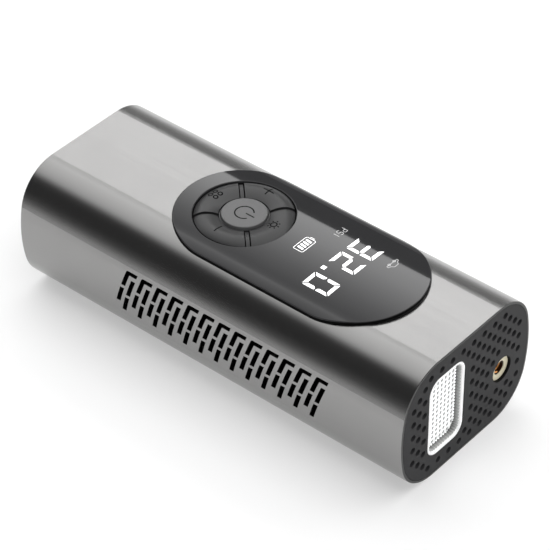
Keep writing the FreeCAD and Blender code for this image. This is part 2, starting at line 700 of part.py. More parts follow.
def gear_bearing():
    ring = rod_y(3.6, PLATE_Y[0], PLATE_Y[1], GEAR_X)
    return ring.cut(rod_y(AXLE_R + RUNNING, PLATE_Y[0] - 1, PLATE_Y[1] + 1, GEAR_X))


def gear_axle():
    axle = rod_y(AXLE_R, 3.4, GEAR_Y[1], GEAR_X)
    return axle.fuse(rod_y(2.4, 4.2, 5.2, GEAR_X)).removeSplitter()


def drive_gear():
    turn = math.pi + math.pi / GEAR_TEETH    # a gap faces the motor, where a pinion tooth is
    gear = gear_teeth(GEAR_TEETH, turn, GEAR_Y[0], GEAR_Y[1], GEAR_X)
    recess = rod_y(12.2, GEAR_Y[0] - 1, GEAR_Y[0] + 1.4, GEAR_X)
    recess = recess.cut(rod_y(8.6, GEAR_Y[0] - 2, GEAR_Y[0] + 2, GEAR_X))
    gear = gear.cut(recess)
    gear = gear.fuse(rod_y(CRANK_DISC_R, GEAR_Y[1], CRANK_DISC_Y, GEAR_X)).removeSplitter()
    gear = gear.cut(rod_y(AXLE_R, GEAR_Y[0] - 1, GEAR_Y[1], GEAR_X))
    gear = gear.cut(rod_y(CRANK_PIN_R, GEAR_Y[0] + 1.5, CRANK_DISC_Y + 1, GEAR_X + CRANK_R))
    return gear.cut(rod_y(RIVET_R + RUNNING, GEAR_Y[0] - 1, CRANK_DISC_Y + 1,
                          GEAR_X + CRANK_R / 2.0))


def crank_pin():
    pin = rod_y(CRANK_PIN_R, GEAR_Y[0] + 1.5, 22.4, GEAR_X + CRANK_R)
    return pin.fuse(rod_y(2.1, 21.8, 22.4, GEAR_X + CRANK_R)).removeSplitter()


def crank_roller():
    roller = rod_y(ROLLER_R, YOKE_Y[0] - 0.2, YOKE_Y[1] + 0.1, GEAR_X + CRANK_R)
    return roller.cut(rod_y(CRANK_PIN_R, 0, 30, GEAR_X + CRANK_R))


def crank_rivet():
    return rod_y(RIVET_R, GEAR_Y[0] + 0.1, CRANK_DISC_Y - 0.1, GEAR_X + CRANK_R / 2.0)


def yoke():
    x = GEAR_X + CRANK_R
    frame = box(x - YOKE_HALF, x + YOKE_HALF, YOKE_Y[0], YOKE_Y[1], DRIVE_Z - 11.2, DRIVE_Z + 11.2)
    upright = [e for e in frame.Edges if abs(e.tangentAt(e.FirstParameter).y) > 0.9]
    frame = frame.makeFillet(2.0, upright)
    half, reach = ROLLER_R + RUNNING, CRANK_R + ROLLER_R + 0.2
    slot = box(x - half, x + half, YOKE_Y[0] - 1, YOKE_Y[1] + 1, DRIVE_Z - reach, DRIVE_Z + reach)
    return frame.cut(slot)


def piston_rod():
    start = GEAR_X + CRANK_R + YOKE_HALF
    return rod_x(ROD_R, start, PISTON_X[0] + 3.0, SLIDE_Y, DRIVE_Z)


def rod_bush():
    bush = rod_x(3.5, FRAME_WALL_X[0], FRAME_WALL_X[1], SLIDE_Y, DRIVE_Z)
    return bush.cut(rod_x(ROD_R + RUNNING, FRAME_WALL_X[0] - 1, FRAME_WALL_X[1] + 1, SLIDE_Y, DRIVE_Z))


def seal_groove(r_out):
    groove = rod_x(r_out, 55.2, 57.2, SLIDE_Y, DRIVE_Z)
    return groove.cut(rod_x(6.6, 55.0, 57.4, SLIDE_Y, DRIVE_Z))


def piston():
    body = rod_x(BORE_R - 0.1, PISTON_X[0], PISTON_X[1], SLIDE_Y, DRIVE_Z)
    body = body.cut(seal_groove(BORE_R + 1))
    return body.cut(rod_x(ROD_R, PISTON_X[0] - 1, PISTON_X[0] + 3.0, SLIDE_Y, DRIVE_Z))


def piston_seal():
    return seal_groove(BORE_R - 0.03)


def head_screw_places():
    for k in range(4):
        a = math.radians(45 + 90 * k)
        yield SLIDE_Y + 9.75 * math.cos(a), DRIVE_Z + 9.75 * math.sin(a)


def cylinder():
    barrel = rod_x(CYLINDER_R, FRAME_WALL_X[1], CYLINDER_END, SLIDE_Y, DRIVE_Z)
    for i in range(4):
        x = 42.5 + 3.0 * i
        groove = rod_x(CYLINDER_R + 1, x, x + 1.5, SLIDE_Y, DRIVE_Z)
        barrel = barrel.cut(groove.cut(rod_x(9.2, x - 1, x + 3, SLIDE_Y, DRIVE_Z)))
    barrel = barrel.cut(rod_x(BORE_R, FRAME_WALL_X[1] - 1, CYLINDER_END + 1, SLIDE_Y, DRIVE_Z))
    for y, z in head_screw_places():
        barrel = barrel.cut(rod_x(0.9, CYLINDER_END - 4.5, CYLINDER_END + 1, y, z))
    return barrel


def head_gasket():
    ring = rod_x(CYLINDER_R, CYLINDER_END, HEAD_X[0], SLIDE_Y, DRIVE_Z)
    ring = ring.cut(rod_x(BORE_R, CYLINDER_END - 1, HEAD_X[0] + 1, SLIDE_Y, DRIVE_Z))
    for y, z in head_screw_places():
        ring = ring.cut(rod_x(0.9, CYLINDER_END - 1, HEAD_X[0] + 1, y, z))
    return ring


def cylinder_head():
    head = rod_x(CYLINDER_R, HEAD_X[0], HEAD_X[1], SLIDE_Y, DRIVE_Z)
    head = head.fuse(rod_x(BOSS_R, HEAD_X[1], BOSS_END - 0.1, SLIDE_Y, DRIVE_Z))
    nipple = rod_z(1.2, DRIVE_Z + 9.0, DRIVE_Z + 13.0, 63.2, 16.0)
    head = head.fuse(nipple).removeSplitter()
    head = head.cut(rod_x(1.4, HEAD_X[0] - 1, SEAT_X + 1, SLIDE_Y, DRIVE_Z))
    head = head.cut(rod_x(CHAMBER_R, SEAT_X, FITTING_TAIL, SLIDE_Y, DRIVE_Z))
    head = head.cut(rod_x(3.6, FITTING_TAIL, BOSS_END + 1, SLIDE_Y, DRIVE_Z))
    for y, z in head_screw_places():
        head = head.cut(rod_x(0.9, HEAD_X[0] - 1, HEAD_X[1] + 1, y, z))
    return head


def head_screws():
    screws = []
    for y, z in head_screw_places():
        head = rod_x(1.6, HEAD_X[1], HEAD_X[1] + 1.2, y, z)
        screws.append(head.fuse(rod_x(0.88, CYLINDER_END - 4, HEAD_X[1], y, z)).removeSplitter())
    return Part.makeCompound(screws)


def pressure_sensor():
    body = box(50.5, 55.5, 13.2, 18.0, CONTROL_Z - 3.4, CONTROL_Z)
    return body.fuse(rod_x(0.8, 55.5, 58.0, 16.0, CONTROL_Z - 1.8)).removeSplitter()


def sensor_tube():
    height = CONTROL_Z - 1.8
    path = [V(58.05, 16.0, height), V(63.2, 16.0, height), V(63.2, 16.0, DRIVE_Z + 13.05)]
    return wire_run(path, 1.0, 3.0)


# ---------------------------------------------------------------- power
def cell_places():
    return [-CELL_PITCH, 0.0, CELL_PITCH]


def battery_cells():
    return Part.makeCompound([battery_cell(y) for y in cell_places()])


def battery_cell(y):
    cell = rod_x(CELL_R, CELL_X0, CELL_X0 + CELL_LENGTH - 0.8, y, CELL_Z)
    rims = [e for e in cell.Edges if abs(e.CenterOfMass.x - e.BoundBox.XMin) < 0.01
            and e.BoundBox.XLength < 0.01]
    cell = cell.makeFillet(0.5, rims)
    tip = rod_x(3.0, CELL_X0 + CELL_LENGTH - 0.9, CELL_X0 + CELL_LENGTH, y, CELL_Z)
    return cell.fuse(tip).removeSplitter()


def strip_block(x, margin):
    y = CELL_PITCH + 4.0 + margin
    return box(x - margin, x + STRIP_T + margin, -y, y, CELL_Z - 3 - margin, CELL_Z + 3 + margin)


def nickel_strips():
    return Part.makeCompound([strip_block(CELL_X0 - STRIP_T, 0),
                              strip_block(CELL_X0 + CELL_LENGTH, 0)])


def cell_holder(rear):
    if rear:
        x0, x1 = REAR + CAP_T + 0.1, CELL_X0 + 6.0
    else:
        x0, x1 = CELL_X0 + CELL_LENGTH - 6.0, CELL_X0 + CELL_LENGTH + 1.3
    inner = tube_solid(WALL + FIT_GAP + TRAY_T + FIT_GAP, x0, x1)
    holder = inner.common(box(x0, x1, -29.5, 29.5, 0, 26.5))
    for y in cell_places():
        holder = holder.cut(rod_x(CELL_R + FIT_GAP, CELL_X0, CELL_X0 + CELL_LENGTH, y, CELL_Z))
    for x in (CELL_X0 - STRIP_T, CELL_X0 + CELL_LENGTH):
        holder = holder.cut(strip_block(x, 0.02))
    if rear:
        for y in (-SCREW_Y, SCREW_Y):
            holder = holder.cut(rod_x(1.05, x0 - 1, REAR + 9.0, y, MID_Z))
    z0 = MAIN_BOARD[3]
    for x, y in post_places():
        if x0 < x < x1:
            holder = holder.fuse(rod_z(2.0, 26.0, z0, x, y))
            holder = holder.fuse(rod_z(1.1, z0 - 0.5, z0 + BOARD_T, x, y))
    return holder.removeSplitter()


def post_places():
    """Where the main board's pegs stand: two on each cell holder."""
    rear, front = MAIN_BOARD[:2]
    return [(x, y) for x in (rear + 2.5, front - 2.5) for y in (-BOARD_POST_Y, BOARD_POST_Y)]


def main_board():
    rear, front, half, z0 = MAIN_BOARD
    board = box(rear, front, -half, half, z0, z0 + BOARD_T)
    for x, y in ((-60.0, -12.0), (-60.0, 10.0), (-46.0, 0.0), (-32.0, -8.0)):
        board = board.fuse(box(x, x + 7.0, y, y + 7.0, z0 + BOARD_T - 0.1, z0 + BOARD_T + 2.0))
    for x, y in post_places():
        board = board.cut(rod_z(1.2, z0 - 1, z0 + BOARD_T + 1, x, y))
    return board.removeSplitter()


def usb_c_socket():
    z = MAIN_BOARD[3] + BOARD_T
    body = rounded_x(-USB_W / 2, USB_W / 2, z, z + USB_H, 1.5, REAR + 0.6, REAR + 8.5)
    hole = rounded_x(-USB_W / 2 + 0.4, USB_W / 2 - 0.4, z + 0.4, z + USB_H - 0.4, 1.15,
                     REAR, REAR + 6.5)
    tongue = box(REAR + 1.2, REAR + 7.0, -3.3, 3.3, z + USB_H / 2 - 0.35, z + USB_H / 2 + 0.35)
    return body.cut(hole).fuse(tongue).removeSplitter()


def internal_leads():
    """Two leads from the main board to the motor, and two from the control board to the lamp."""
    leads = []
    start_x, end_x = MAIN_BOARD[1] - 3.0, MOTOR_X - 3.5
    board_top = MAIN_BOARD[3] + BOARD_T
    for y in (MOTOR_BACK + 1.3, MOTOR_BACK + 3.3):
        leads.append(wire_run([V(start_x, y, board_top), V(start_x, y, board_top + 3.5),
                               V(end_x, y, board_top + 3.5), V(end_x, y, DRIVE_Z + 10.7)],
                              LEAD_R, 1.6))
    lamp_back = CAP_X - LAMP_DEPTH - BOARD_T
    for y in (-12.5, -9.5):
        leads.append(wire_run([V(44.0, y, CONTROL_Z), V(44.0, y, CONTROL_Z - 2.8),
                               V(lamp_back, y, CONTROL_Z - 2.8)], LEAD_R, 1.6))
    return Part.makeCompound(leads)


# ---------------------------------------------------------------- write every part
PARTS = {
    "body_shell": body_shell,
    "front_cap": front_cap,
    "rear_cap": rear_cap,
    "rear_cap_screws": rear_cap_screws,
    "front_dust_filter": front_dust_filter,
    "vent_mesh_left": lambda: vent_mesh(1),
    "vent_mesh_right": lambda: vent_mesh(-1),
    "chassis_tray": chassis_tray,
    "panel_frame": panel_frame,
    "display_window": display_window,
    "button_bezel": button_bezel,
    "power_button": power_button,
    "mode_button": lambda: ring_button(180),
    "minus_button": lambda: ring_button(270),
    "plus_button": lambda: ring_button(90),
    "light_button": lambda: ring_button(0),
    "tact_switches": tact_switches,
    "control_board": control_board,
    "display_module": display_module,
    "lamp_bezel": lamp_bezel,
    "lamp_lens": lamp_lens,
    "lamp_reflector": lamp_reflector,
    "lamp_board": lamp_board,
    "lamp_heat_sink": lamp_heat_sink,
    "outlet_fitting": outlet_fitting,
    "outlet_o_ring": outlet_o_ring,
    "valve_poppet": valve_poppet,
    "valve_spring": valve_spring,
    "motor_can": motor_can,
    "motor_end_bell": motor_end_bell,
    "motor_shaft": motor_shaft,
    "motor_pinion": motor_pinion,
    "motor_screws": motor_screws,
    "cooling_fan": cooling_fan,
    "gear_frame": gear_frame,
    "rubber_mounts": rubber_mounts,
    "gear_bearing": gear_bearing,
    "gear_axle": gear_axle,
    "drive_gear": drive_gear,
    "crank_pin": crank_pin,
    "crank_roller": crank_roller,
    "crank_rivet": crank_rivet,
    "yoke": yoke,
    "piston_rod": piston_rod,
    "rod_bush": rod_bush,
    "piston": piston,
    "piston_seal": piston_seal,
    "cylinder": cylinder,
    "head_gasket": head_gasket,
    "cylinder_head": cylinder_head,
    "head_screws": head_screws,
    "pressure_sensor": pressure_sensor,
    "sensor_tube": sensor_tube,
    "nickel_strips": nickel_strips,
    "main_board": main_board,
    "usb_c_socket": usb_c_socket,
    "battery_cells": battery_cells,
    "cell_holder_rear": lambda: cell_holder(True),
    "cell_holder_front": lambda: cell_holder(False),
    "internal_leads": internal_leads,
}
for name, make in PARTS.items():
    save(name, make())
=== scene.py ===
# %% [markdown]
# A cordless air pump, from its frame to its finish.
# The CAD model already holds every part at its real size. This script loads it, keeps the parts whose
# shape is finished, swaps a few for finer versions, and gives every surface its material.
# All lengths are in metres, and +X is the end with the lamp and the air outlet.

# %% Load the frame
import json
import math

import bmesh
import bpy
from mathutils import Matrix, Vector
from mathutils.bvhtree import BVHTree


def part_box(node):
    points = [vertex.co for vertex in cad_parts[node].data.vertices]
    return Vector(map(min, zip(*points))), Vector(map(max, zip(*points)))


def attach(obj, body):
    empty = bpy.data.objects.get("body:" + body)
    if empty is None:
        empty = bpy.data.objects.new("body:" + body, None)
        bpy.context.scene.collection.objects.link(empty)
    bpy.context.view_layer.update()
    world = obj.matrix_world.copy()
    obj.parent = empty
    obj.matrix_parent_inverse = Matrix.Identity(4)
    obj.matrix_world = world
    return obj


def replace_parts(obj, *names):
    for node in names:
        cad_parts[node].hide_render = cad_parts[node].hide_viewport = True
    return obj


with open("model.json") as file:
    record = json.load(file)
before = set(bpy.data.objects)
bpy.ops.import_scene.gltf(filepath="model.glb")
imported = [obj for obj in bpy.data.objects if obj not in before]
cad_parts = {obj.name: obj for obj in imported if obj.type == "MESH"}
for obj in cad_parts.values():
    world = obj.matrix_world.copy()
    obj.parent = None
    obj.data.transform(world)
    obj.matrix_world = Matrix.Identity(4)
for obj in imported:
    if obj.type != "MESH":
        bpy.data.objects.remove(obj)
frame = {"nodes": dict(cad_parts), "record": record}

MM = 0.001
scene = bpy.context.scene
nodes = frame["nodes"]
record = frame["record"]
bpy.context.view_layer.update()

# %% [markdown]
# Everything that is added later is placed from the parts themselves, so these few numbers are read
# from their boxes: the tube, the panel plate, the power button in the middle of its ring, the lamp
# and the outlet.

# %% Places read from the frame
def span(node):
    low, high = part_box(node)
    return Vector(low), Vector(high)


tube_end = span("body_shell")[1].x
plate_low, plate_high = span("display_window")
power_low, power_high = span("power_button")
lamp_low, lamp_high = span("lamp_bezel")
lens_low, lens_high = span("lamp_lens")
outlet_low, outlet_high = span("outlet_fitting")

RING = Vector(((power_low.x + power_high.x) / 2, 0, power_high.z))
PLATE_R = plate_high.y
PLATE_TOP = plate_high.z
PLATE_CROWN = 0.85 * MM
LAMP_FACE = lamp_high.x
OUTLET = (outlet_low + outlet_high) / 2
print("button ring centre:", RING, "plate radius:", PLATE_R)

# %% [markdown]
# The camera stands in front of the vented side, forty degrees up and forty degrees round, and far
# enough away that the tube hardly tapers. Its turn is built from three plain rotations: round the
# vertical, down towards the object, and a half degree of roll.

# %% Camera
AZIMUTH = math.radians(40.612)
ELEVATION = math.radians(40.038)
ROLL = math.radians(-0.529)
CAMERA_FAR = 847.7 * MM
LENS_MM = 166.5
SENSOR_MM = 36
NEAREST = 0.01
ASIDE_MM, ABOVE_MM = 2.191, 2.607
target = Vector((0, 0, 25 * MM))

turn = (Matrix.Rotation(AZIMUTH, 3, "Z")
        @ Matrix.Rotation(math.pi / 2 - ELEVATION, 3, "X")
        @ Matrix.Rotation(ROLL, 3, "Z"))
right, up, back = turn.col[0], turn.col[1], turn.col[2]
camera_data = bpy.data.cameras.new("camera")
camera_data.lens = LENS_MM
camera_data.sensor_width = SENSOR_MM
camera_data.clip_start = NEAREST
camera = bpy.data.objects.new("camera", camera_data)
place = target + back * CAMERA_FAR + right * ASIDE_MM * MM + up * ABOVE_MM * MM
camera.matrix_world = Matrix.Translation(place) @ turn.to_4x4()
scene.collection.objects.link(camera)
scene.camera = camera
print("camera at", tuple(round(v, 3) for v in place))

# %% [markdown]
# A material is a chain of nodes that ends in one output. The floor's is the shortest one here: a pale,
# almost matt paper sweep, so that it stays quiet behind the object.

# %% Studio floor
scene.view_settings.view_transform = "Standard"

FLOOR_HALF = 1.6
WHITE = (1, 1, 1, 1)


def new_material(name):
    """An empty material with its output node, ready for a chain of nodes."""
    material = bpy.data.materials.new(name)
    material.use_nodes = True
    tree = material.node_tree
    tree.nodes.clear()
    out = tree.nodes.new("ShaderNodeOutputMaterial")
    out.label = "finish"
    out.location = (900, 0)
    return material, tree, out


def floor_material():
    material, tree, out = new_material("studio_floor")
    surface = tree.nodes.new("ShaderNodeBsdfPrincipled")
    surface.label = "pale matt floor"
    surface.location = (600, 0)
    surface.inputs["Base Color"].default_value = (0.93, 0.93, 0.93, 1)
    surface.inputs["Roughness"].default_value = 0.95
    surface.inputs["Specular IOR Level"].default_value = 0.0
    tree.links.new(surface.outputs["BSDF"], out.inputs["Surface"])
    return material


def stage_sheet(name, corners, material):
    """A four-cornered sheet of the studio, whose place is in its mesh."""
    mesh = bpy.data.meshes.new(name)
    mesh.from_pydata([tuple(c) for c in corners], [], [(0, 1, 2, 3)])
    mesh.materials.append(material)
    sheet = bpy.data.objects.new(name, mesh)
    scene.collection.objects.link(sheet)
    return sheet


stage_sheet("studio_floor",
            [(-FLOOR_HALF, -FLOOR_HALF, 0), (FLOOR_HALF, -FLOOR_HALF, 0),
             (FLOOR_HALF, FLOOR_HALF, 0), (-FLOOR_HALF, FLOOR_HALF, 0)],
            floor_material())
print("floor side:", 2 * FLOOR_HALF)

# %% [markdown]
# Satin metal and black glass show what is around them, so the light here is made of large glowing
# cards rather than lamps. The overhead card is a graded softbox: brightest along its far edge, which is
# the line that the panel mirrors, and fading out towards the near side, which leaves the dark band
# along the tube's shoulder. A low card behind the object lights the far shoulder, and a small graded
# flag beside it, seen only in reflections, softens the mirrored edge of the floor.

# %% Softbox, back card and side flag
CARD_Z = 0.95
CARD_X = (-2.2, 1.0)
CARD_FAR = 1.017
CARD_NEAR = -0.75
CARD_GLOW = 4.2
# Brightness across each card: (place in metres along one axis, share of the full glow).
CARD_STEPS = ((CARD_NEAR, 0.0), (-0.5, 0.04), (-0.3, 0.24), (-0.05, 0.3), (0.2, 0.34), (0.48, 0.41),
              (0.57, 0.3), (0.64, 0.16), (0.72, 0.33), (0.8, 0.55), (0.9, 0.82), (CARD_FAR, 1.0))
BACK_X = (-3.0, 1.5)
BACK_Y = 1.6
BACK_TOP = 1.05
BACK_GLOW = 0.85
BACK_STEPS = ((0.0, 1.0), (0.2, 0.85), (0.4, 0.55), (0.7, 0.45), (BACK_TOP, 0.4))
FLAG_X = (-1.6, 0.6)
FLAG_Y = -0.115
FLAG_TOP = 0.07
FLAG_GLOW = 0.75
FLAG_STEPS = ((0.0, 1.0), (0.02, 0.6), (0.04, 0.2), (FLAG_TOP, 0.08))


def glowing_card(name, axis, start, end, steps, strength):
    """White light whose strength along one axis follows the steps."""
    material, tree, out = new_material(name)
    where = tree.nodes.new("ShaderNodeTexCoord")
    where.label = "place on the card"
    where.location = (-700, 0)
    parts = tree.nodes.new("ShaderNodeSeparateXYZ")
    parts.label = "split into axes"
    parts.location = (-500, 0)
    along = tree.nodes.new("ShaderNodeMapRange")
    along.label = "from one edge to the other"
    along.location = (-300, 0)
    ramp = tree.nodes.new("ShaderNodeValToRGB")
    ramp.label = "brightness across the card"
    ramp.location = (-50, 0)
    glow = tree.nodes.new("ShaderNodeEmission")
    glow.label = "soft white light"
    glow.location = (500, 0)
    along.inputs["From Min"].default_value = start
    along.inputs["From Max"].default_value = end
    glow.inputs["Strength"].default_value = strength
    stops = ramp.color_ramp.elements
    while len(stops) < len(steps):
        stops.new(0.5)
    for stop, (place_on_card, share) in zip(stops, steps):
        stop.position = (place_on_card - start) / (end - start)
        stop.color = (share, share, share, 1)
    tree.links.new(where.outputs["Object"], parts.inputs["Vector"])
    tree.links.new(parts.outputs[axis], along.inputs["Value"])
    tree.links.new(along.outputs["Result"], ramp.inputs["Fac"])
    tree.links.new(ramp.outputs["Color"], glow.inputs["Color"])
    tree.links.new(glow.outputs["Emission"], out.inputs["Surface"])
    return material


def upright(ends, y, height):
    """The corners of a sheet that stands on the floor, facing along Y."""
    return [(ends[0], y, 0), (ends[1], y, 0), (ends[1], y, height), (ends[0], y, height)]


card = stage_sheet("softbox_card",
                   [(CARD_X[0], CARD_FAR, CARD_Z), (CARD_X[1], CARD_FAR, CARD_Z),
                    (CARD_X[1], CARD_NEAR, CARD_Z), (CARD_X[0], CARD_NEAR, CARD_Z)],
                   glowing_card("softbox_glow", "Y", CARD_NEAR, CARD_FAR, CARD_STEPS, CARD_GLOW))
back_card = stage_sheet("back_card", upright(BACK_X, BACK_Y, BACK_TOP),
                        glowing_card("back_glow", "Z", 0.0, BACK_TOP, BACK_STEPS, BACK_GLOW))
flag = stage_sheet("side_flag", upright(FLAG_X, FLAG_Y, FLAG_TOP),
                   glowing_card("flag_glow", "Z", 0.0, FLAG_TOP, FLAG_STEPS, FLAG_GLOW))
flag.visible_diffuse = False
flag.visible_shadow = False
for sheet in (card, back_card, flag):
    sheet.visible_camera = False
print("softbox from y", CARD_NEAR, "to", CARD_FAR, "at height", CARD_Z)

# %% [markdown]
# Two large area lights fill the floor and the front cap. They are hidden from reflections, so they
# brighten matt surfaces without adding shapes to the metal, and the upper one casts no shadow, which
# keeps the floor pale right up to the object. The room adds a little light from all round, so that no
# side is black.

# %% Fill lights and room
FILLS = (
    ("fill_top", (0.1, -0.3, 1.5), 2.4, 31.0, False),
    ("fill_front", (1.2, -0.7, 0.8), 1.0, 5.0, True),
)
ROOM_GLOW = 0.06

for name, spot, size, power, shadow in FILLS:
    light = bpy.data.lights.new(name, "AREA")
    light.shape = "SQUARE"
    light.size = size
    light.energy = power
    light.use_shadow = shadow
    lamp = bpy.data.objects.new(name, light)
    lamp.location = spot
    lamp.rotation_euler = (-Vector(spot)).to_track_quat("-Z", "Y").to_euler()
    lamp.visible_glossy = False
    scene.collection.objects.link(lamp)
    print(name, "size", size, "power", power)

world = bpy.data.worlds.new("room")
world.use_nodes = True
room = world.node_tree.nodes["Background"]
room.inputs["Color"].default_value = WHITE
room.inputs["Strength"].default_value = ROOM_GLOW
scene.world = world

# %% [markdown]
# The tube is extruded aluminium, bead-blasted and dyed grey. Two things make it look like that and
# not like plain grey metal: a very fine blasted grain and faint long streaks left by the extrusion die.
# Its end faces are painted darker, a painted shade, inside a thin bright line where the edge is rounded.

# %% Anodised aluminium
def anodised_aluminium(name, colour, end_shade_colour, roughness, tube_end):
    material, tree, out = new_material(name)
    where = tree.nodes.new("ShaderNodeTexCoord")
    where.label = "place on the tube"
    where.location = (-1500, 0)

    stretch = tree.nodes.new("ShaderNodeMapping")
    stretch.label = "long along the tube"
    stretch.location = (-1250, 420)
    streaks = tree.nodes.new("ShaderNodeTexNoise")
    streaks.label = "die streaks"
    streaks.location = (-1050, 420)
    gloss = tree.nodes.new("ShaderNodeMapRange")
    gloss.label = "streaks change the gloss"
    gloss.location = (-800, 420)

    cloud = tree.nodes.new("ShaderNodeTexNoise")
    cloud.label = "uneven dye"
    cloud.location = (-1050, 120)
    dye = tree.nodes.new("ShaderNodeMix")
    dye.label = "two close greys"
    dye.location = (-800, 120)

    parts = tree.nodes.new("ShaderNodeSeparateXYZ")
    parts.label = "split into axes"
    parts.location = (-1250, -160)
    reach = tree.nodes.new("ShaderNodeMath")
    reach.label = "distance from the middle"
    reach.location = (-1050, -160)
    rim = tree.nodes.new("ShaderNodeMapRange")
    rim.label = "only the end faces"
    rim.location = (-800, -160)
    ends = tree.nodes.new("ShaderNodeMix")
    ends.label = "painted shade on the end faces"
    ends.location = (-500, 60)

    grain = tree.nodes.new("ShaderNodeTexNoise")
    grain.label = "blasted grain"
    grain.location = (-1050, -440)
    relief = tree.nodes.new("ShaderNodeBump")
    relief.label = "fine relief"
    relief.location = (-800, -440)

    surface = tree.nodes.new("ShaderNodeBsdfPrincipled")
    surface.label = "satin metal"
    surface.location = (400, 0)

    for title, members in (("extrusion streaks", (stretch, streaks, gloss)),
                           ("dye", (cloud, dye)),
                           ("end faces", (parts, reach, rim, ends)),
                           ("blasting", (grain, relief))):
        area = tree.nodes.new("NodeFrame")
        area.label = title
        for node in members:
            node.parent = area

    stretch.inputs["Scale"].default_value = (6, 900, 900)
    streaks.inputs["Scale"].default_value = 1.0
    streaks.inputs["Detail"].default_value = 3.0
    gloss.inputs["To Min"].default_value = roughness - 0.03
    gloss.inputs["To Max"].default_value = roughness + 0.03
    cloud.inputs["Scale"].default_value = 60
    cloud.inputs["Detail"].default_value = 2.0
    dye.data_type = "RGBA"
    dye.inputs["A"].default_value = (*[0.97 * c for c in colour], 1)
    dye.inputs["B"].default_value = (*[1.03 * c for c in colour], 1)
    # Painted shade: the end faces get a much darker colour, standing for the light they miss.
    reach.operation = "ABSOLUTE"
    rim.inputs["From Min"].default_value = tube_end - 0.08 * MM
    rim.inputs["From Max"].default_value = tube_end - 0.02 * MM
    ends.data_type = "RGBA"
    ends.inputs["B"].default_value = (*end_shade_colour, 1)
    grain.inputs["Scale"].default_value = 5000
    grain.inputs["Detail"].default_value = 1.0
    relief.inputs["Strength"].default_value = 0.12
    relief.inputs["Distance"].default_value = 0.02 * MM
    surface.inputs["Metallic"].default_value = 1.0

    tree.links.new(where.outputs["Object"], stretch.inputs["Vector"])
    tree.links.new(stretch.outputs["Vector"], streaks.inputs["Vector"])
    tree.links.new(streaks.outputs["Fac"], gloss.inputs["Value"])
    tree.links.new(where.outputs["Object"], cloud.inputs["Vector"])
    tree.links.new(cloud.outputs["Fac"], dye.inputs["Factor"])
    tree.links.new(where.outputs["Object"], parts.inputs["Vector"])
    tree.links.new(parts.outputs["X"], reach.inputs[0])
    tree.links.new(reach.outputs["Value"], rim.inputs["Value"])
    tree.links.new(rim.outputs["Result"], ends.inputs["Factor"])
    tree.links.new(dye.outputs["Result"], ends.inputs["A"])
    tree.links.new(where.outputs["Object"], grain.inputs["Vector"])
    tree.links.new(grain.outputs["Fac"], relief.inputs["Height"])
    tree.links.new(ends.outputs["Result"], surface.inputs["Base Color"])
    tree.links.new(gloss.outputs["Result"], surface.inputs["Roughness"])
    tree.links.new(relief.outputs["Normal"], surface.inputs["Normal"])
    tree.links.new(surface.outputs["BSDF"], out.inputs["Surface"])
    return material


finishes = {}
finishes["anodised_shell"] = anodised_aluminium(
    "anodised_shell", (0.30, 0.298, 0.295), (0.05, 0.05, 0.05), roughness=0.24, tube_end=tube_end)
print("made:", list(finishes))

# %% [markdown]
# Caps, buttons, holders and seals are all moulded. A mould is spark-eroded, so the plastic copies a
# fine grain, and its gloss drifts a little where it cooled unevenly. One function makes them all; the
# colour, the gloss and the size of the grain tell them apart.

# %% Moulded plastic and rubber
def moulded_plastic(name, colour, roughness, grain_mm, depth_mm, shine=0.5, drift=0.08):
    material, tree, out = new_material(name)
    where = tree.nodes.new("ShaderNodeTexCoord")
    where.label = "place on the moulding"
    where.location = (-1200, 0)
    cloud = tree.nodes.new("ShaderNodeTexNoise")
    cloud.label = "uneven cooling"
    cloud.location = (-950, 250)
    tint = tree.nodes.new("ShaderNodeMix")
    tint.label = "two close tones"
    tint.location = (-700, 350)
    gloss = tree.nodes.new("ShaderNodeMapRange")
    gloss.label = "drifting gloss"
    gloss.location = (-700, 120)
    grain = tree.nodes.new("ShaderNodeTexNoise")
    grain.label = "spark-eroded grain"
    grain.location = (-950, -250)
    relief = tree.nodes.new("ShaderNodeBump")
    relief.label = "copied grain"
    relief.location = (-700, -250)
    surface = tree.nodes.new("ShaderNodeBsdfPrincipled")
    surface.label = "moulded surface"
    surface.location = (400, 0)
    for title, members in (("cooling", (cloud, tint, gloss)), ("mould grain", (grain, relief))):
        area = tree.nodes.new("NodeFrame")
        area.label = title
        for node in members:
            node.parent = area

    cloud.inputs["Scale"].default_value = 90
    cloud.inputs["Detail"].default_value = 3.0
    tint.data_type = "RGBA"
    tint.inputs["A"].default_value = (*[(1 - drift) * c for c in colour], 1)
    tint.inputs["B"].default_value = (*[(1 + drift) * c for c in colour], 1)
    gloss.inputs["To Min"].default_value = roughness * (1 - drift)
    gloss.inputs["To Max"].default_value = roughness * (1 + drift)
    grain.inputs["Scale"].default_value = 1 / (grain_mm * MM)
    grain.inputs["Detail"].default_value = 2.0
    relief.inputs["Strength"].default_value = 0.35
    relief.inputs["Distance"].default_value = depth_mm * MM
    surface.inputs["Specular IOR Level"].default_value = shine

    tree.links.new(where.outputs["Object"], cloud.inputs["Vector"])
    tree.links.new(cloud.outputs["Fac"], tint.inputs["Factor"])
    tree.links.new(cloud.outputs["Fac"], gloss.inputs["Value"])
    tree.links.new(where.outputs["Object"], grain.inputs["Vector"])
    tree.links.new(grain.outputs["Fac"], relief.inputs["Height"])
    tree.links.new(tint.outputs["Result"], surface.inputs["Base Color"])
    tree.links.new(gloss.outputs["Result"], surface.inputs["Roughness"])
    tree.links.new(relief.outputs["Normal"], surface.inputs["Normal"])
    tree.links.new(surface.outputs["BSDF"], out.inputs["Surface"])
    return material


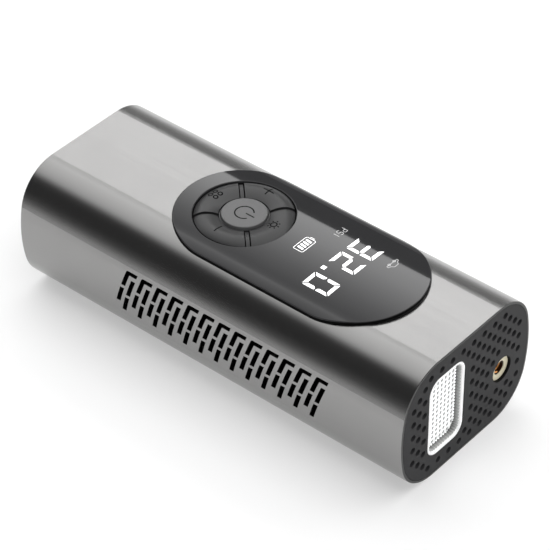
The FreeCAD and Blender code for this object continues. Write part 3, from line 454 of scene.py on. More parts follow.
MOULDED = (
    ("end_cap", (0.022, 0.022, 0.023), 0.55, 0.25, 0.02, 0.2),
    ("button_grey", (0.019, 0.019, 0.0195), 0.36, 0.3, 0.001, 0.6),
    ("panel_black", (0.002, 0.002, 0.002), 0.5, 0.3, 0.01, 0.1),
    ("nylon_dark", (0.03, 0.03, 0.032), 0.55, 0.4, 0.02, 0.5),
    ("rubber_black", (0.015, 0.015, 0.015), 0.7, 0.35, 0.03, 0.4),
    ("ptfe_white", (0.78, 0.78, 0.76), 0.45, 0.4, 0.008, 0.5),
    ("cell_wrap", (0.05, 0.16, 0.3), 0.25, 0.8, 0.006, 0.5),
    ("lead_red", (0.4, 0.02, 0.015), 0.4, 0.3, 0.01, 0.5),
)
for name, colour, roughness, grain_mm, depth_mm, shine in MOULDED:
    finishes[name] = moulded_plastic(name, colour, roughness, grain_mm, depth_mm, shine)
symbol_ink = moulded_plastic("symbol_ink", (0.002, 0.002, 0.002), 0.5, 0.2, 0.004, 0.05)
power_grey = moulded_plastic("power_grey", (0.12, 0.12, 0.121), 0.4, 0.3, 0.004, 0.4)
bore_shade = moulded_plastic("bore_shade", (0.012, 0.004, 0.001), 0.5, 0.2, 0.01, 0.1)
print("made:", len(MOULDED) + 3, "mouldings")

# %% [markdown]
# The panel is a smoked, polished plate. Its colour is almost black, so nearly all that one sees is the
# clear reflection; real polish is never perfect, so a soft wiping haze changes the roughness slightly.

# %% Smoked gloss plate
def smoked_gloss(name, colour, roughness, index):
    material, tree, out = new_material(name)
    where = tree.nodes.new("ShaderNodeTexCoord")
    where.label = "place on the plate"
    where.location = (-1200, 0)
    wipe = tree.nodes.new("ShaderNodeMapping")
    wipe.label = "wiped along the plate"
    wipe.location = (-1000, 200)
    haze = tree.nodes.new("ShaderNodeTexNoise")
    haze.label = "wiping haze"
    haze.location = (-800, 200)
    gloss = tree.nodes.new("ShaderNodeMapRange")
    gloss.label = "haze dulls the polish"
    gloss.location = (-550, 200)
    smoke = tree.nodes.new("ShaderNodeTexNoise")
    smoke.label = "depth of the tint"
    smoke.location = (-800, -150)
    tint = tree.nodes.new("ShaderNodeMix")
    tint.label = "smoke tint"
    tint.location = (-550, -150)
    surface = tree.nodes.new("ShaderNodeBsdfPrincipled")
    surface.label = "polished plate"
    surface.location = (400, 0)
    for title, members in (("polish", (wipe, haze, gloss)), ("tint", (smoke, tint))):
        area = tree.nodes.new("NodeFrame")
        area.label = title
        for node in members:
            node.parent = area

    wipe.inputs["Scale"].default_value = (25, 90, 90)
    haze.inputs["Scale"].default_value = 1.0
    haze.inputs["Detail"].default_value = 4.0
    gloss.inputs["To Min"].default_value = roughness * 0.7
    gloss.inputs["To Max"].default_value = roughness * 1.3
    smoke.inputs["Scale"].default_value = 40
    tint.data_type = "RGBA"
    tint.inputs["A"].default_value = (*[0.9 * c for c in colour], 1)
    tint.inputs["B"].default_value = (*[1.1 * c for c in colour], 1)
    surface.inputs["IOR"].default_value = index

    tree.links.new(where.outputs["Object"], wipe.inputs["Vector"])
    tree.links.new(wipe.outputs["Vector"], haze.inputs["Vector"])
    tree.links.new(haze.outputs["Fac"], gloss.inputs["Value"])
    tree.links.new(where.outputs["Object"], smoke.inputs["Vector"])
    tree.links.new(smoke.outputs["Fac"], tint.inputs["Factor"])
    tree.links.new(tint.outputs["Result"], surface.inputs["Base Color"])
    tree.links.new(gloss.outputs["Result"], surface.inputs["Roughness"])
    tree.links.new(surface.outputs["BSDF"], out.inputs["Surface"])
    return material


finishes["panel_gloss"] = smoked_gloss("panel_gloss", (0.024, 0.024, 0.025), 0.035, 1.45)
print("made: panel_gloss")

# %% [markdown]
# Screws, shafts, gears and the outlet are turned, drawn or cast. Turned metal shows rings round its own
# axis, so the pattern is measured outwards from a line along X through a given place.

# %% Turned and cast metal
def turned_metal(name, colour, roughness, centre, ring_mm, depth_mm, metal=1.0):
    material, tree, out = new_material(name)
    where = tree.nodes.new("ShaderNodeTexCoord")
    where.label = "place on the part"
    where.location = (-1500, 0)
    axis = tree.nodes.new("ShaderNodeMapping")
    axis.label = "centred on the turning axis"
    axis.location = (-1300, 200)
    radius = tree.nodes.new("ShaderNodeVectorMath")
    radius.label = "distance from the axis"
    radius.location = (-1100, 200)
    turns = tree.nodes.new("ShaderNodeMath")
    turns.label = "tool pitch"
    turns.location = (-900, 200)
    rings = tree.nodes.new("ShaderNodeMath")
    rings.label = "tool rings"
    rings.location = (-700, 200)
    relief = tree.nodes.new("ShaderNodeBump")
    relief.label = "ring relief"
    relief.location = (-450, 200)
    cloud = tree.nodes.new("ShaderNodeTexNoise")
    cloud.label = "handling marks"
    cloud.location = (-1100, -200)
    gloss = tree.nodes.new("ShaderNodeMapRange")
    gloss.label = "marks dull the metal"
    gloss.location = (-700, -120)
    tone = tree.nodes.new("ShaderNodeMix")
    tone.label = "slight tarnish"
    tone.location = (-700, -380)
    surface = tree.nodes.new("ShaderNodeBsdfPrincipled")
    surface.label = "bare metal"
    surface.location = (400, 0)
    for title, members in (("tool marks", (axis, radius, turns, rings, relief)),
                           ("handling", (cloud, gloss, tone))):
        area = tree.nodes.new("NodeFrame")
        area.label = title
        for node in members:
            node.parent = area

    axis.vector_type = "TEXTURE"
    axis.inputs["Location"].default_value = (0, centre[0], centre[1])
    axis.inputs["Scale"].default_value = (1e6, 1, 1)
    radius.operation = "LENGTH"
    turns.operation = "MULTIPLY"
    turns.inputs[1].default_value = 2 * math.pi / (ring_mm * MM)
    rings.operation = "SINE"
    relief.inputs["Strength"].default_value = 0.3
    relief.inputs["Distance"].default_value = depth_mm * MM
    cloud.inputs["Scale"].default_value = 350
    cloud.inputs["Detail"].default_value = 4.0
    gloss.inputs["To Min"].default_value = roughness * 0.75
    gloss.inputs["To Max"].default_value = roughness * 1.25
    tone.data_type = "RGBA"
    tone.inputs["A"].default_value = (*[0.9 * c for c in colour], 1)
    tone.inputs["B"].default_value = (*colour, 1)
    surface.inputs["Metallic"].default_value = metal

    tree.links.new(where.outputs["Object"], axis.inputs["Vector"])
    tree.links.new(axis.outputs["Vector"], radius.inputs[0])
    tree.links.new(radius.outputs["Value"], turns.inputs[0])
    tree.links.new(turns.outputs["Value"], rings.inputs[0])
    tree.links.new(rings.outputs["Value"], relief.inputs["Height"])
    tree.links.new(where.outputs["Object"], cloud.inputs["Vector"])
    tree.links.new(cloud.outputs["Fac"], gloss.inputs["Value"])
    tree.links.new(cloud.outputs["Fac"], tone.inputs["Factor"])
    tree.links.new(tone.outputs["Result"], surface.inputs["Base Color"])
    tree.links.new(gloss.outputs["Result"], surface.inputs["Roughness"])
    tree.links.new(relief.outputs["Normal"], surface.inputs["Normal"])
    tree.links.new(surface.outputs["BSDF"], out.inputs["Surface"])
    return material


outlet_axis = (OUTLET.y, OUTLET.z)
METALS = (
    ("brass", (0.86, 0.76, 0.52), 0.3, 0.35, 0.01),
    ("steel", (0.5, 0.5, 0.5), 0.3, 0.3, 0.005),
    ("zinc_can", (0.55, 0.56, 0.57), 0.38, 0.6, 0.005),
    ("cast_aluminium", (0.6, 0.6, 0.6), 0.5, 0.8, 0.02),
    ("nickel", (0.62, 0.6, 0.56), 0.25, 0.5, 0.004),
)
for name, colour, roughness, ring_mm, depth_mm in METALS:
    finishes[name] = turned_metal(name, colour, roughness, outlet_axis, ring_mm, depth_mm)
thread_metal = turned_metal("thread_metal", (0.95, 0.42, 0.13), 0.3, outlet_axis, 0.2, 0.003, 0.5)
outlet_face = turned_metal("outlet_face", (0.80, 0.74, 0.55), 0.5, outlet_axis, 0.4, 0.003, 0.2)
print("made:", len(METALS) + 2, "metals")

# %% [markdown]
# The vents and the hole field are backed by a fine black mesh. A weave is two sets of ribbons at right
# angles, which two wave patterns give without modelling thousands of threads.

# %% Woven mesh
def woven_mesh(name, colour, pitch_mm):
    material, tree, out = new_material(name)
    where = tree.nodes.new("ShaderNodeTexCoord")
    where.label = "place on the mesh"
    where.location = (-1200, 0)
    warp = tree.nodes.new("ShaderNodeTexWave")
    warp.label = "threads standing up"
    warp.location = (-900, 200)
    weft = tree.nodes.new("ShaderNodeTexWave")
    weft.label = "threads lying across"
    weft.location = (-900, -150)
    cross = tree.nodes.new("ShaderNodeMath")
    cross.label = "whichever thread is on top"
    cross.location = (-600, 0)
    relief = tree.nodes.new("ShaderNodeBump")
    relief.label = "round threads"
    relief.location = (-350, -150)
    tint = tree.nodes.new("ShaderNodeMix")
    tint.label = "painted shade between threads"
    tint.location = (-350, 150)
    surface = tree.nodes.new("ShaderNodeBsdfPrincipled")
    surface.label = "black mesh"
    surface.location = (400, 0)
    area = tree.nodes.new("NodeFrame")
    area.label = "weave"
    for node in (warp, weft, cross, relief, tint):
        node.parent = area

    for threads, direction in ((warp, "X"), (weft, "Z")):
        threads.bands_direction = direction
        threads.inputs["Scale"].default_value = 0.314 / (pitch_mm * MM)
    cross.operation = "MAXIMUM"
    relief.inputs["Strength"].default_value = 0.8
    relief.inputs["Distance"].default_value = 0.1 * MM
    tint.data_type = "RGBA"
    # Painted shade: the gaps between the threads are coloured darker.
    tint.inputs["A"].default_value = (*[0.3 * c for c in colour], 1)
    tint.inputs["B"].default_value = (*colour, 1)
    surface.inputs["Roughness"].default_value = 0.7
    surface.inputs["Specular IOR Level"].default_value = 0.0

    tree.links.new(where.outputs["Object"], warp.inputs["Vector"])
    tree.links.new(where.outputs["Object"], weft.inputs["Vector"])
    tree.links.new(warp.outputs["Fac"], cross.inputs[0])
    tree.links.new(weft.outputs["Fac"], cross.inputs[1])
    tree.links.new(cross.outputs["Value"], relief.inputs["Height"])
    tree.links.new(cross.outputs["Value"], tint.inputs["Factor"])
    tree.links.new(tint.outputs["Result"], surface.inputs["Base Color"])
    tree.links.new(relief.outputs["Normal"], surface.inputs["Normal"])
    tree.links.new(surface.outputs["BSDF"], out.inputs["Surface"])
    return material


finishes["mesh_dark"] = woven_mesh("mesh_dark", (0.0015, 0.0015, 0.0015), 0.5)
print("made: mesh_dark")

# %% [markdown]
# Circuit boards are green lacquer over copper tracks. The tracks stand a little proud, so the same
# pattern gives both the lighter green and the relief.

# %% Circuit board
def circuit_board(name, lacquer, track, pitch_mm):
    material, tree, out = new_material(name)
    where = tree.nodes.new("ShaderNodeTexCoord")
    where.label = "place on the board"
    where.location = (-1200, 0)
    layout = tree.nodes.new("ShaderNodeTexVoronoi")
    layout.label = "track layout"
    layout.location = (-950, 0)
    tracks = tree.nodes.new("ShaderNodeMapRange")
    tracks.label = "narrow tracks"
    tracks.location = (-700, 0)
    paint = tree.nodes.new("ShaderNodeMix")
    paint.label = "lacquer over copper"
    paint.location = (-400, 150)
    relief = tree.nodes.new("ShaderNodeBump")
    relief.label = "raised tracks"
    relief.location = (-400, -150)
    surface = tree.nodes.new("ShaderNodeBsdfPrincipled")
    surface.label = "lacquered board"
    surface.location = (400, 0)
    area = tree.nodes.new("NodeFrame")
    area.label = "tracks"
    for node in (layout, tracks, paint, relief):
        node.parent = area

    layout.distance = "MANHATTAN"
    layout.inputs["Scale"].default_value = 1 / (pitch_mm * MM)
    layout.inputs["Randomness"].default_value = 0.35
    tracks.inputs["From Min"].default_value = 0.45
    tracks.inputs["From Max"].default_value = 0.5
    paint.data_type = "RGBA"
    paint.inputs["A"].default_value = (*lacquer, 1)
    paint.inputs["B"].default_value = (*track, 1)
    relief.inputs["Strength"].default_value = 0.4
    relief.inputs["Distance"].default_value = 0.03 * MM
    surface.inputs["Roughness"].default_value = 0.3

    tree.links.new(where.outputs["Object"], layout.inputs["Vector"])
    tree.links.new(layout.outputs["Distance"], tracks.inputs["Value"])
    tree.links.new(tracks.outputs["Result"], paint.inputs["Factor"])
    tree.links.new(tracks.outputs["Result"], relief.inputs["Height"])
    tree.links.new(paint.outputs["Result"], surface.inputs["Base Color"])
    tree.links.new(relief.outputs["Normal"], surface.inputs["Normal"])
    tree.links.new(surface.outputs["BSDF"], out.inputs["Surface"])
    return material


finishes["board_green"] = circuit_board("board_green", (0.01, 0.09, 0.035), (0.03, 0.2, 0.08), 2.5)
print("made: board_green")

# %% [markdown]
# The lamp is lit, and so are the digits. The lit plastic is a little cloudy, and its glow is painted
# dimmer in its hollows as painted shade: the depth below a given face sets how much of the glow is left.

# %% Lit plastic
def lit_plastic(name, colour, hollow_shade_colour, glow, face_x, shade_depth, roughness=0.3):
    """Glowing plastic with a painted shade: darker the deeper it lies behind face_x."""
    material, tree, out = new_material(name)
    where = tree.nodes.new("ShaderNodeTexCoord")
    where.label = "place on the lamp"
    where.location = (-1300, 0)
    parts = tree.nodes.new("ShaderNodeSeparateXYZ")
    parts.label = "split into axes"
    parts.location = (-1100, 200)
    depth = tree.nodes.new("ShaderNodeMapRange")
    depth.label = "one at the face, zero in a hollow"
    depth.location = (-900, 200)
    milk = tree.nodes.new("ShaderNodeTexNoise")
    milk.label = "cloudy plastic"
    milk.location = (-1100, -200)
    cloudy = tree.nodes.new("ShaderNodeMix")
    cloudy.label = "two close whites"
    cloudy.location = (-900, -200)
    lit = tree.nodes.new("ShaderNodeMix")
    lit.label = "painted shade in the hollows"
    lit.location = (-600, 0)
    surface = tree.nodes.new("ShaderNodeBsdfPrincipled")
    surface.label = "lit plastic"
    surface.location = (400, 0)
    for title, members in (("depth", (parts, depth, lit)), ("cloudiness", (milk, cloudy))):
        area = tree.nodes.new("NodeFrame")
        area.label = title
        for node in members:
            node.parent = area

    depth.inputs["From Min"].default_value = face_x - shade_depth
    depth.inputs["From Max"].default_value = face_x
    milk.inputs["Scale"].default_value = 500
    cloudy.data_type = "RGBA"
    cloudy.inputs["A"].default_value = (*[0.94 * c for c in colour], 1)
    cloudy.inputs["B"].default_value = (*colour, 1)
    lit.data_type = "RGBA"
    lit.inputs["A"].default_value = (*hollow_shade_colour, 1)
    surface.inputs["Emission Strength"].default_value = glow
    surface.inputs["Roughness"].default_value = roughness

    tree.links.new(where.outputs["Object"], parts.inputs["Vector"])
    tree.links.new(parts.outputs["X"], depth.inputs["Value"])
    tree.links.new(where.outputs["Object"], milk.inputs["Vector"])
    tree.links.new(milk.outputs["Fac"], cloudy.inputs["Factor"])
    tree.links.new(depth.outputs["Result"], lit.inputs["Factor"])
    tree.links.new(cloudy.outputs["Result"], lit.inputs["B"])
    tree.links.new(lit.outputs["Result"], surface.inputs["Base Color"])
    tree.links.new(lit.outputs["Result"], surface.inputs["Emission Color"])
    tree.links.new(surface.outputs["BSDF"], out.inputs["Surface"])
    return material


# Parts in this finish glow faintly, painted light from the lamp, and are painted darker deeper behind its
# face.
finishes["lamp_white"] = lit_plastic("lamp_white", (0.9, 0.9, 0.9), (0.5, 0.5, 0.5), 0.25,
                                     LAMP_FACE, 4 * MM)
# The lens glows as the lamp; its dimples get painted shade, a dark grey in their hollows.
finishes["lamp_clear"] = lit_plastic("lamp_clear", (0.96, 0.97, 0.97), (0.12, 0.12, 0.12), 0.75,
                                     lens_high.x - 0.12 * MM, 0.45 * MM)
digit_glow = lit_plastic("digit_glow", (1.0, 1.0, 1.0), (1.0, 1.0, 1.0), 1.0, LAMP_FACE, 1.0)
small_glow = lit_plastic("small_glow", (0.6, 0.6, 0.6), (0.6, 0.6, 0.6), 0.35, LAMP_FACE, 1.0)
print("made:", len(finishes), "finishes")

# %% [markdown]
# Each CAD part names the finish it has, so one loop gives all sixty their material. Their meshes stay
# as they are. Only the power button is moulded in a paler grey than the ring round it.

# %% Finish the CAD parts
for part in record["subparts"]:
    for material_slot in nodes[part["node"]].material_slots:
        material_slot.material = finishes[part["material_slot"]]
nodes["power_button"].material_slots[0].material = power_grey
print("finished parts:", len(record["subparts"]))

# %% [markdown]
# The finer pieces are first built as loose points and faces, and a few short functions do what they all
# share: points on an arc, faces between two loops of points, the step from faces to a piece with its
# material and body, a Solidify modifier that gives a sheet its thickness, and a ray cast down onto
# a part, which finds how high its top is.

# %% Shared by the finer pieces
ABOVE_ALL = 0.1


def arc(centre, radius, start, end, count=20):
    """Points on a circle, with angles in degrees."""
    points = []
    for i in range(count + 1):
        angle = math.radians(start + (end - start) * i / count)
        points.append((centre[0] + radius * math.cos(angle), centre[1] + radius * math.sin(angle)))
    return points


def join_loops(shape, upper, lower):
    """Faces between two closed loops that have the same count of points."""
    for i in range(len(upper)):
        j = (i + 1) % len(upper)
        shape.faces.new((upper[i], upper[j], lower[j], lower[i]))


def add_piece(name, data, material, body="housing"):
    """A piece from its mesh or curve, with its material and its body."""
    data.materials.append(material)
    piece = bpy.data.objects.new(name, data)
    scene.collection.objects.link(piece)
    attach(piece, body)
    return piece


def piece_of_faces(name, shape, material, body="housing"):
    mesh = bpy.data.meshes.new(name)
    shape.to_mesh(mesh)
    shape.free()
    return add_piece(name, mesh, material, body)


def thicken(sheet, title, thickness, offset=-1.0):
    solid = sheet.modifiers.new(title, "SOLIDIFY")
    solid.thickness = thickness
    solid.offset = offset


def height_on(node):
    """A function that gives the height of a part's top at (x, y)."""
    top = BVHTree.FromObject(nodes[node], bpy.context.evaluated_depsgraph_get())

    def height(x, y):
        hit = top.ray_cast(Vector((x, y, ABOVE_ALL)), Vector((0, 0, -1)))[0]
        return hit.z if hit is not None else RING.z
    return height


print("shared functions ready")

# %% [markdown]
# The panel is a thin plate with a round hole for the buttons. It mirrors a straight edge, so it shows
# any unevenness. The plate is crowned across and straight along, so its top is made of narrow strips
# from end to end, each with its corners exactly on the crown. The crown bends down more steeply near
# the two long sides. The loops round the rims are then carried over a small rounding and down the side.

# %% Display plate
PLATE_T = 1.0 * MM
PLATE_EDGE = 0.3 * MM
LIP_W = 4.2 * MM
LIP_DROP = 1.05 * MM
LIP_CURVE = 2.5
HOLE_R = 17.2 * MM
TOP_R = PLATE_R - PLATE_EDGE
TOP_HOLE_R = HOLE_R + PLATE_EDGE
REAR_X = plate_low.x + PLATE_R
FRONT_X = plate_high.x - PLATE_R
STRIPS = 44
THINNEST_STRIP = 0.02 * MM
EDGE_ANGLES = (30, 60, 90)
SHARP = math.radians(35)


def plate_height(y):
    into_lip = max(0, (abs(y) - PLATE_R + LIP_W) / LIP_W)
    return PLATE_TOP - PLATE_CROWN * (y / PLATE_R) ** 2 - LIP_DROP * into_lip ** LIP_CURVE


def strip_lines():
    """Places across the plate where strips meet, close together where an outline turns fast."""
    lines = sorted({round(radius * math.sin(math.pi * (k / STRIPS - 0.5)), 7)
                    for radius in (TOP_R, TOP_HOLE_R) for k in range(STRIPS + 1)})
    spaced = [y for y, following in zip(lines, lines[1:] + [None])
              if following is None or following - y > THINNEST_STRIP]
    return [-TOP_R] + spaced[1:-1] + [TOP_R]


def plate_row(shape, y, drop):
    """Points along the plate at one place across: its two ends, and the hole's sides between them."""
    bulge = math.sqrt(max(TOP_R ** 2 - y ** 2, 0))
    xs = [REAR_X - bulge, FRONT_X + bulge]
    gap = TOP_HOLE_R ** 2 - y ** 2
    if gap > 0:
        xs[1:1] = [RING.x - math.sqrt(gap), RING.x + math.sqrt(gap)]
    return [shape.verts.new((x, y, plate_height(y) - drop)) for x in xs]


def sheet_of_strips(shape, drop):
    """The plate's top or underside as strips, with the loops of its rim and its hole."""
    rows = [plate_row(shape, y, drop) for y in strip_lines()]
    for low, high in zip(rows, rows[1:]):
        if len(low) == len(high) == 4:
            shape.faces.new((low[0], low[1], high[1], high[0]))
            shape.faces.new((low[2], low[3], high[3], high[2]))
        else:
            shape.faces.new(low + list(reversed(high)))
    open_rows = [row for row in rows if len(row) == 4]
    rim = [row[-1] for row in rows] + [row[0] for row in reversed(rows)]
    hole = [row[2] for row in open_rows] + [row[1] for row in reversed(open_rows)]
    return rim, hole


def carried_loop(shape, loop, side, out, drop):
    """The loop moved away from the plate's body by out, and down by drop."""
    carried = []
    for vert in loop:
        core_x = RING.x if side < 0 else min(max(vert.co.x, REAR_X), FRONT_X)
        away = Vector((vert.co.x - core_x, vert.co.y, 0)).normalized() * side
        spot = vert.co + away * out
        carried.append(shape.verts.new((spot.x, spot.y, plate_height(vert.co.y) - drop)))
    return carried


def display_plate(name):
    shape = bmesh.new()
    top_rim, top_hole = sheet_of_strips(shape, 0)
    strips = set(shape.faces)
    low_rim, low_hole = sheet_of_strips(shape, PLATE_T)
    angles = [math.radians(angle) for angle in EDGE_ANGLES]
    rounding = [(math.sin(a) * PLATE_EDGE, (1 - math.cos(a)) * PLATE_EDGE) for a in angles]
    rounding.append((PLATE_EDGE, PLATE_T))
    for top, low, side in ((top_rim, low_rim, 1), (top_hole, low_hole, -1)):
        loops = [top] + [carried_loop(shape, top, side, out, drop) for out, drop in rounding] + [low]
        for upper, lower in zip(loops, loops[1:]):
            join_loops(shape, upper, lower)
    bmesh.ops.recalc_face_normals(shape, faces=shape.faces)
    for face in shape.faces:
        face.smooth = True
    for edge in shape.edges:
        kinds = {face in strips for face in edge.link_faces}
        edge.smooth = len(kinds) == 1 and edge.calc_face_angle(0) < SHARP
    return piece_of_faces(name, shape, finishes["panel_gloss"])


plate = display_plate("display_plate")
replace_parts(plate, "display_window")
print("plate faces:", len(plate.data.polygons))

# %% [markdown]
# Round the plate's side runs a matt black band, a painted shade for the gap between the plate and the
# tube. Its lower edge follows the tube, which falls away towards the sides, so the tube's height is found
# under each point.

# %% Plate shade band
SHADE_BAND_OUT = 0.03 * MM
SHADE_BAND_T = 0.05 * MM
SHADE_BAND_SUNK = 0.2 * MM
SHADE_BAND_STEPS = 36

tube_height = height_on("body_shell")
outline = [point for core_x, start in ((FRONT_X, -90), (REAR_X, 90))
           for point in arc((core_x, 0), PLATE_R + SHADE_BAND_OUT, start, start + 180, SHADE_BAND_STEPS)]
shape = bmesh.new()
upper = [shape.verts.new((x, y, plate_height(y) - PLATE_EDGE)) for x, y in outline]
lower = [shape.verts.new((x, y, tube_height(x, y) - SHADE_BAND_SUNK)) for x, y in outline]
join_loops(shape, lower, upper)
for face in shape.faces:
    face.smooth = True
shade_band = piece_of_faces("plate_shade_band", shape, finishes["panel_black"])
thicken(shade_band, "thickness", SHADE_BAND_T, 1.0)
print("gasket points:", len(upper))

# %% [markdown]
# The display shows 32.0 in seven-segment digits. A segment is a bar whose ends are cut at 45 degrees
# where it meets its neighbours, so one outline for each of the seven places is enough, and a digit is a
# choice of them. The sheet is flat to model, and a Solidify modifier gives it thickness.

# %% Seven-segment digits
DIGIT_W = 6.9 * MM
DIGIT_H = 10.6 * MM
BAR = 1.3 * MM
GAP = 0.36 * MM
LIT_T = 0.05 * MM
LIT_LIFT = 0.01 * MM


def segment_outlines():
    """The seven bars of a digit, as outlines (across, up) from its lower left corner."""
    w, h, t, g = DIGIT_W, DIGIT_H, BAR, GAP
    mid = h / 2
    top = [(g, h), (w - g, h), (w - t - g, h - t), (t + g, h - t)]
    upper_right = [(w, h - g), (w - t, h - t - g), (w - t, mid + t / 2 + g),
                   (w - t / 2, mid + g), (w, mid + g)]
    middle = [(t / 2 + g, mid), (t + g, mid + t / 2), (w - t - g, mid + t / 2),
              (w - t / 2 - g, mid), (w - t - g, mid - t / 2), (t + g, mid - t / 2)]
    lower_right = [(x, h - y) for x, y in reversed(upper_right)]
    bottom = [(x, h - y) for x, y in reversed(top)]
    upper_left = [(w - x, y) for x, y in reversed(upper_right)]
    lower_left = [(w - x, y) for x, y in reversed(lower_right)]
    return dict(a=top, b=upper_right, c=lower_right, d=bottom, e=lower_left, f=upper_left, g=middle)


def lit_sheet(name, outlines, origin, material):
    """Flat lit shapes on the plate, given as outlines (across, up) from origin; up is +X."""
    shape = bmesh.new()
    for outline in outlines:
        corners = []
        for across, rise in outline:
            x, y = origin[0] + rise, origin[1] - across
            corners.append(shape.verts.new((x, y, plate_height(y) + LIT_LIFT)))
        shape.faces.new(corners)
    bmesh.ops.recalc_face_normals(shape, faces=shape.faces)
    for face in shape.faces:
        if face.normal.z < 0:
            face.normal_flip()
    sheet = piece_of_faces(name, shape, material)
    thicken(sheet, "thickness", LIT_T, 1.0)


DIGITS_X = 27.0 * MM
# The lit bars of each digit, and the place of its left side along Y.
READING = (("digit_tens", "abcdg", 14.2 * MM), ("digit_ones", "abged", 5.0 * MM),
           ("digit_tenths", "abcdef", -8.3 * MM))
POINT = 1.6 * MM
POINT_LEFT = -4.2 * MM

bars = segment_outlines()
for name, letters, left in READING:
    lit_sheet(name, [bars[letter] for letter in letters], (DIGITS_X, left), digit_glow)
lit_sheet("digit_point", [[(0, 0), (POINT, 0), (POINT, POINT), (0, POINT)]],
          (DIGITS_X, POINT_LEFT), digit_glow)
print("digits:", [name for name, letters, left in READING])

# %% [markdown]
# The lit signs on the plate are drawn with a thin line, which a poly curve with a round bevel gives. It
# lies half sunk in the plate, and its points are close enough together to follow the crown.

# %% Drawn lines
STEP = 0.35 * MM
SIGN_LINE = 0.24 * MM
SUNK = 0.2


def divided(stroke):
    """The stroke with points close enough to follow a domed surface."""
    points = [stroke[0]]
    for (ax, ay), (bx, by) in zip(stroke, stroke[1:]):
        count = max(1, round(math.hypot(bx - ax, by - ay) / STEP))
        points += [(ax + (bx - ax) * i / count, ay + (by - ay) * i / count) for i in range(1, count + 1)]
    return points


def on_plate(strokes, x0, y0):
    """Strokes in millimetres (across, up) from the lower left corner at (x0, y0)."""
    return [[(x0 + rise * MM, y0 - across * MM) for across, rise in stroke] for stroke in strokes]


def drawn_lines(name, strokes, x0, y0, material):
    """Strokes in millimetres (across, up) from (x0, y0), laid on the plate as round lines."""
    curve = bpy.data.curves.new(name, "CURVE")
    curve.dimensions = "3D"
    curve.bevel_depth = SIGN_LINE / 2
    curve.bevel_resolution = 2
    curve.use_fill_caps = True
    for stroke in on_plate(strokes, x0, y0):
        points = divided(stroke)
        spline = curve.splines.new("POLY")
        spline.points.add(len(points) - 1)
        for point, (x, y) in zip(spline.points, points):
            point.co = (x, y, plate_height(y) - SIGN_LINE * SUNK, 1)
    add_piece(name, curve, material)


print("line step:", STEP)

# %% [markdown]
# On the plate are the pressure unit, a battery with four bars and a small car, which shows the mode.

# %% Lit signs on the plate
UNIT = [
    [(0, 0), (0, 2.4), (1.0, 2.4), (1.25, 2.1), (1.25, 1.5), (1.0, 1.2), (0, 1.2)],
    [(1.9, 0.3), (2.2, 0), (2.9, 0), (3.2, 0.3), (3.2, 0.9), (2.9, 1.2), (2.2, 1.2), (1.9, 1.5),
     (1.9, 2.1), (2.2, 2.4), (2.9, 2.4), (3.2, 2.1)],
    [(4.4, 0), (4.4, 2.4)],
]
CELL_L, CELL_H, CELL_R = 7.1, 4.0, 0.6
CELL_CORNERS = (((CELL_R, CELL_R), 180), ((CELL_L - CELL_R, CELL_R), 270),
                ((CELL_L - CELL_R, CELL_H - CELL_R), 0), ((CELL_R, CELL_H - CELL_R), 90))
CELL_CASE = [point for centre, start in CELL_CORNERS for point in arc(centre, CELL_R, start, start + 90, 4)]
BATTERY = [CELL_CASE + [(0, CELL_R)],
           [(0, 1.3), (-0.6, 1.3), (-0.6, 2.7), (0, 2.7)]]
BATTERY_X = 13.7 * MM
LEVEL_PITCH = 1.4
LEVELS = [[((across + LEVEL_PITCH * k) * MM, rise * MM)
           for across, rise in ((0.8, 0.8), (1.6, 0.8), (1.9, 3.2), (1.1, 3.2))]
          for k in range(4)]
WHEEL_R = 0.45
CAR = [[(0, 0.5), (0, 1.2), (0.9, 1.4), (1.6, 2.4), (3.5, 2.4), (4.3, 1.4), (5.2, 1.2), (5.2, 0.5), (0, 0.5)],
       arc((1.3, WHEEL_R), WHEEL_R, 0, 360, 10), arc((3.9, WHEEL_R), WHEEL_R, 0, 360, 10)]

drawn_lines("sign_unit", UNIT, 19.3 * MM, 14.8 * MM, small_glow)
drawn_lines("sign_battery", BATTERY, BATTERY_X, 3.5 * MM, digit_glow)
lit_sheet("sign_battery_level", LEVELS, (BATTERY_X, 3.45 * MM), digit_glow)
drawn_lines("sign_car", CAR, 42.6 * MM, 13.4 * MM, small_glow)
print("signs on the plate: unit, battery, car")

# %% [markdown]
# The buttons carry dark printed signs: four small rings for the mode, a minus, a plus, a sun for the
# lamp, and the usual arc and bar for power. Print is thin, so these are flat ribbons whose two edges
# each follow the domed surface. Each sign rides on its own button and goes down with it.

# %% Signs on the buttons
INK = 0.46 * MM
INK_T = 0.02 * MM


def from_ring(strokes, dx, dy):
    """Strokes in millimetres round a place that is (dx, dy) millimetres from the ring's centre."""
    return [[(RING.x + (dx + x) * MM, RING.y + (dy + y) * MM) for x, y in stroke] for stroke in strokes]


def printed_sign(name, strokes, body):
    """Strokes given as (x, y) points, laid on a button as thin flat ribbons."""
    height = height_on(body)
    shape = bmesh.new()
    for stroke in strokes:
        points = [Vector(point) for point in divided(stroke)]
        closed = (points[0] - points[-1]).length < INK_T
        ends = (points[-2], points[1]) if closed else (points[0], points[-1])
        around = [ends[0]] + points + [ends[1]]
        row = None
        for before, point, after in zip(around, points, around[2:]):
            along = (after - before).normalized()
            aside = Vector((-along.y, along.x)) * INK / 2
            pair = [shape.verts.new((spot.x, spot.y, height(spot.x, spot.y) + INK_T))
                    for spot in (point + aside, point - aside)]
            if row:
                shape.faces.new((row[0], row[1], pair[1], pair[0]))
            row = pair
    sign = piece_of_faces(name, shape, symbol_ink, body)
    thicken(sign, "ink film", INK_T)


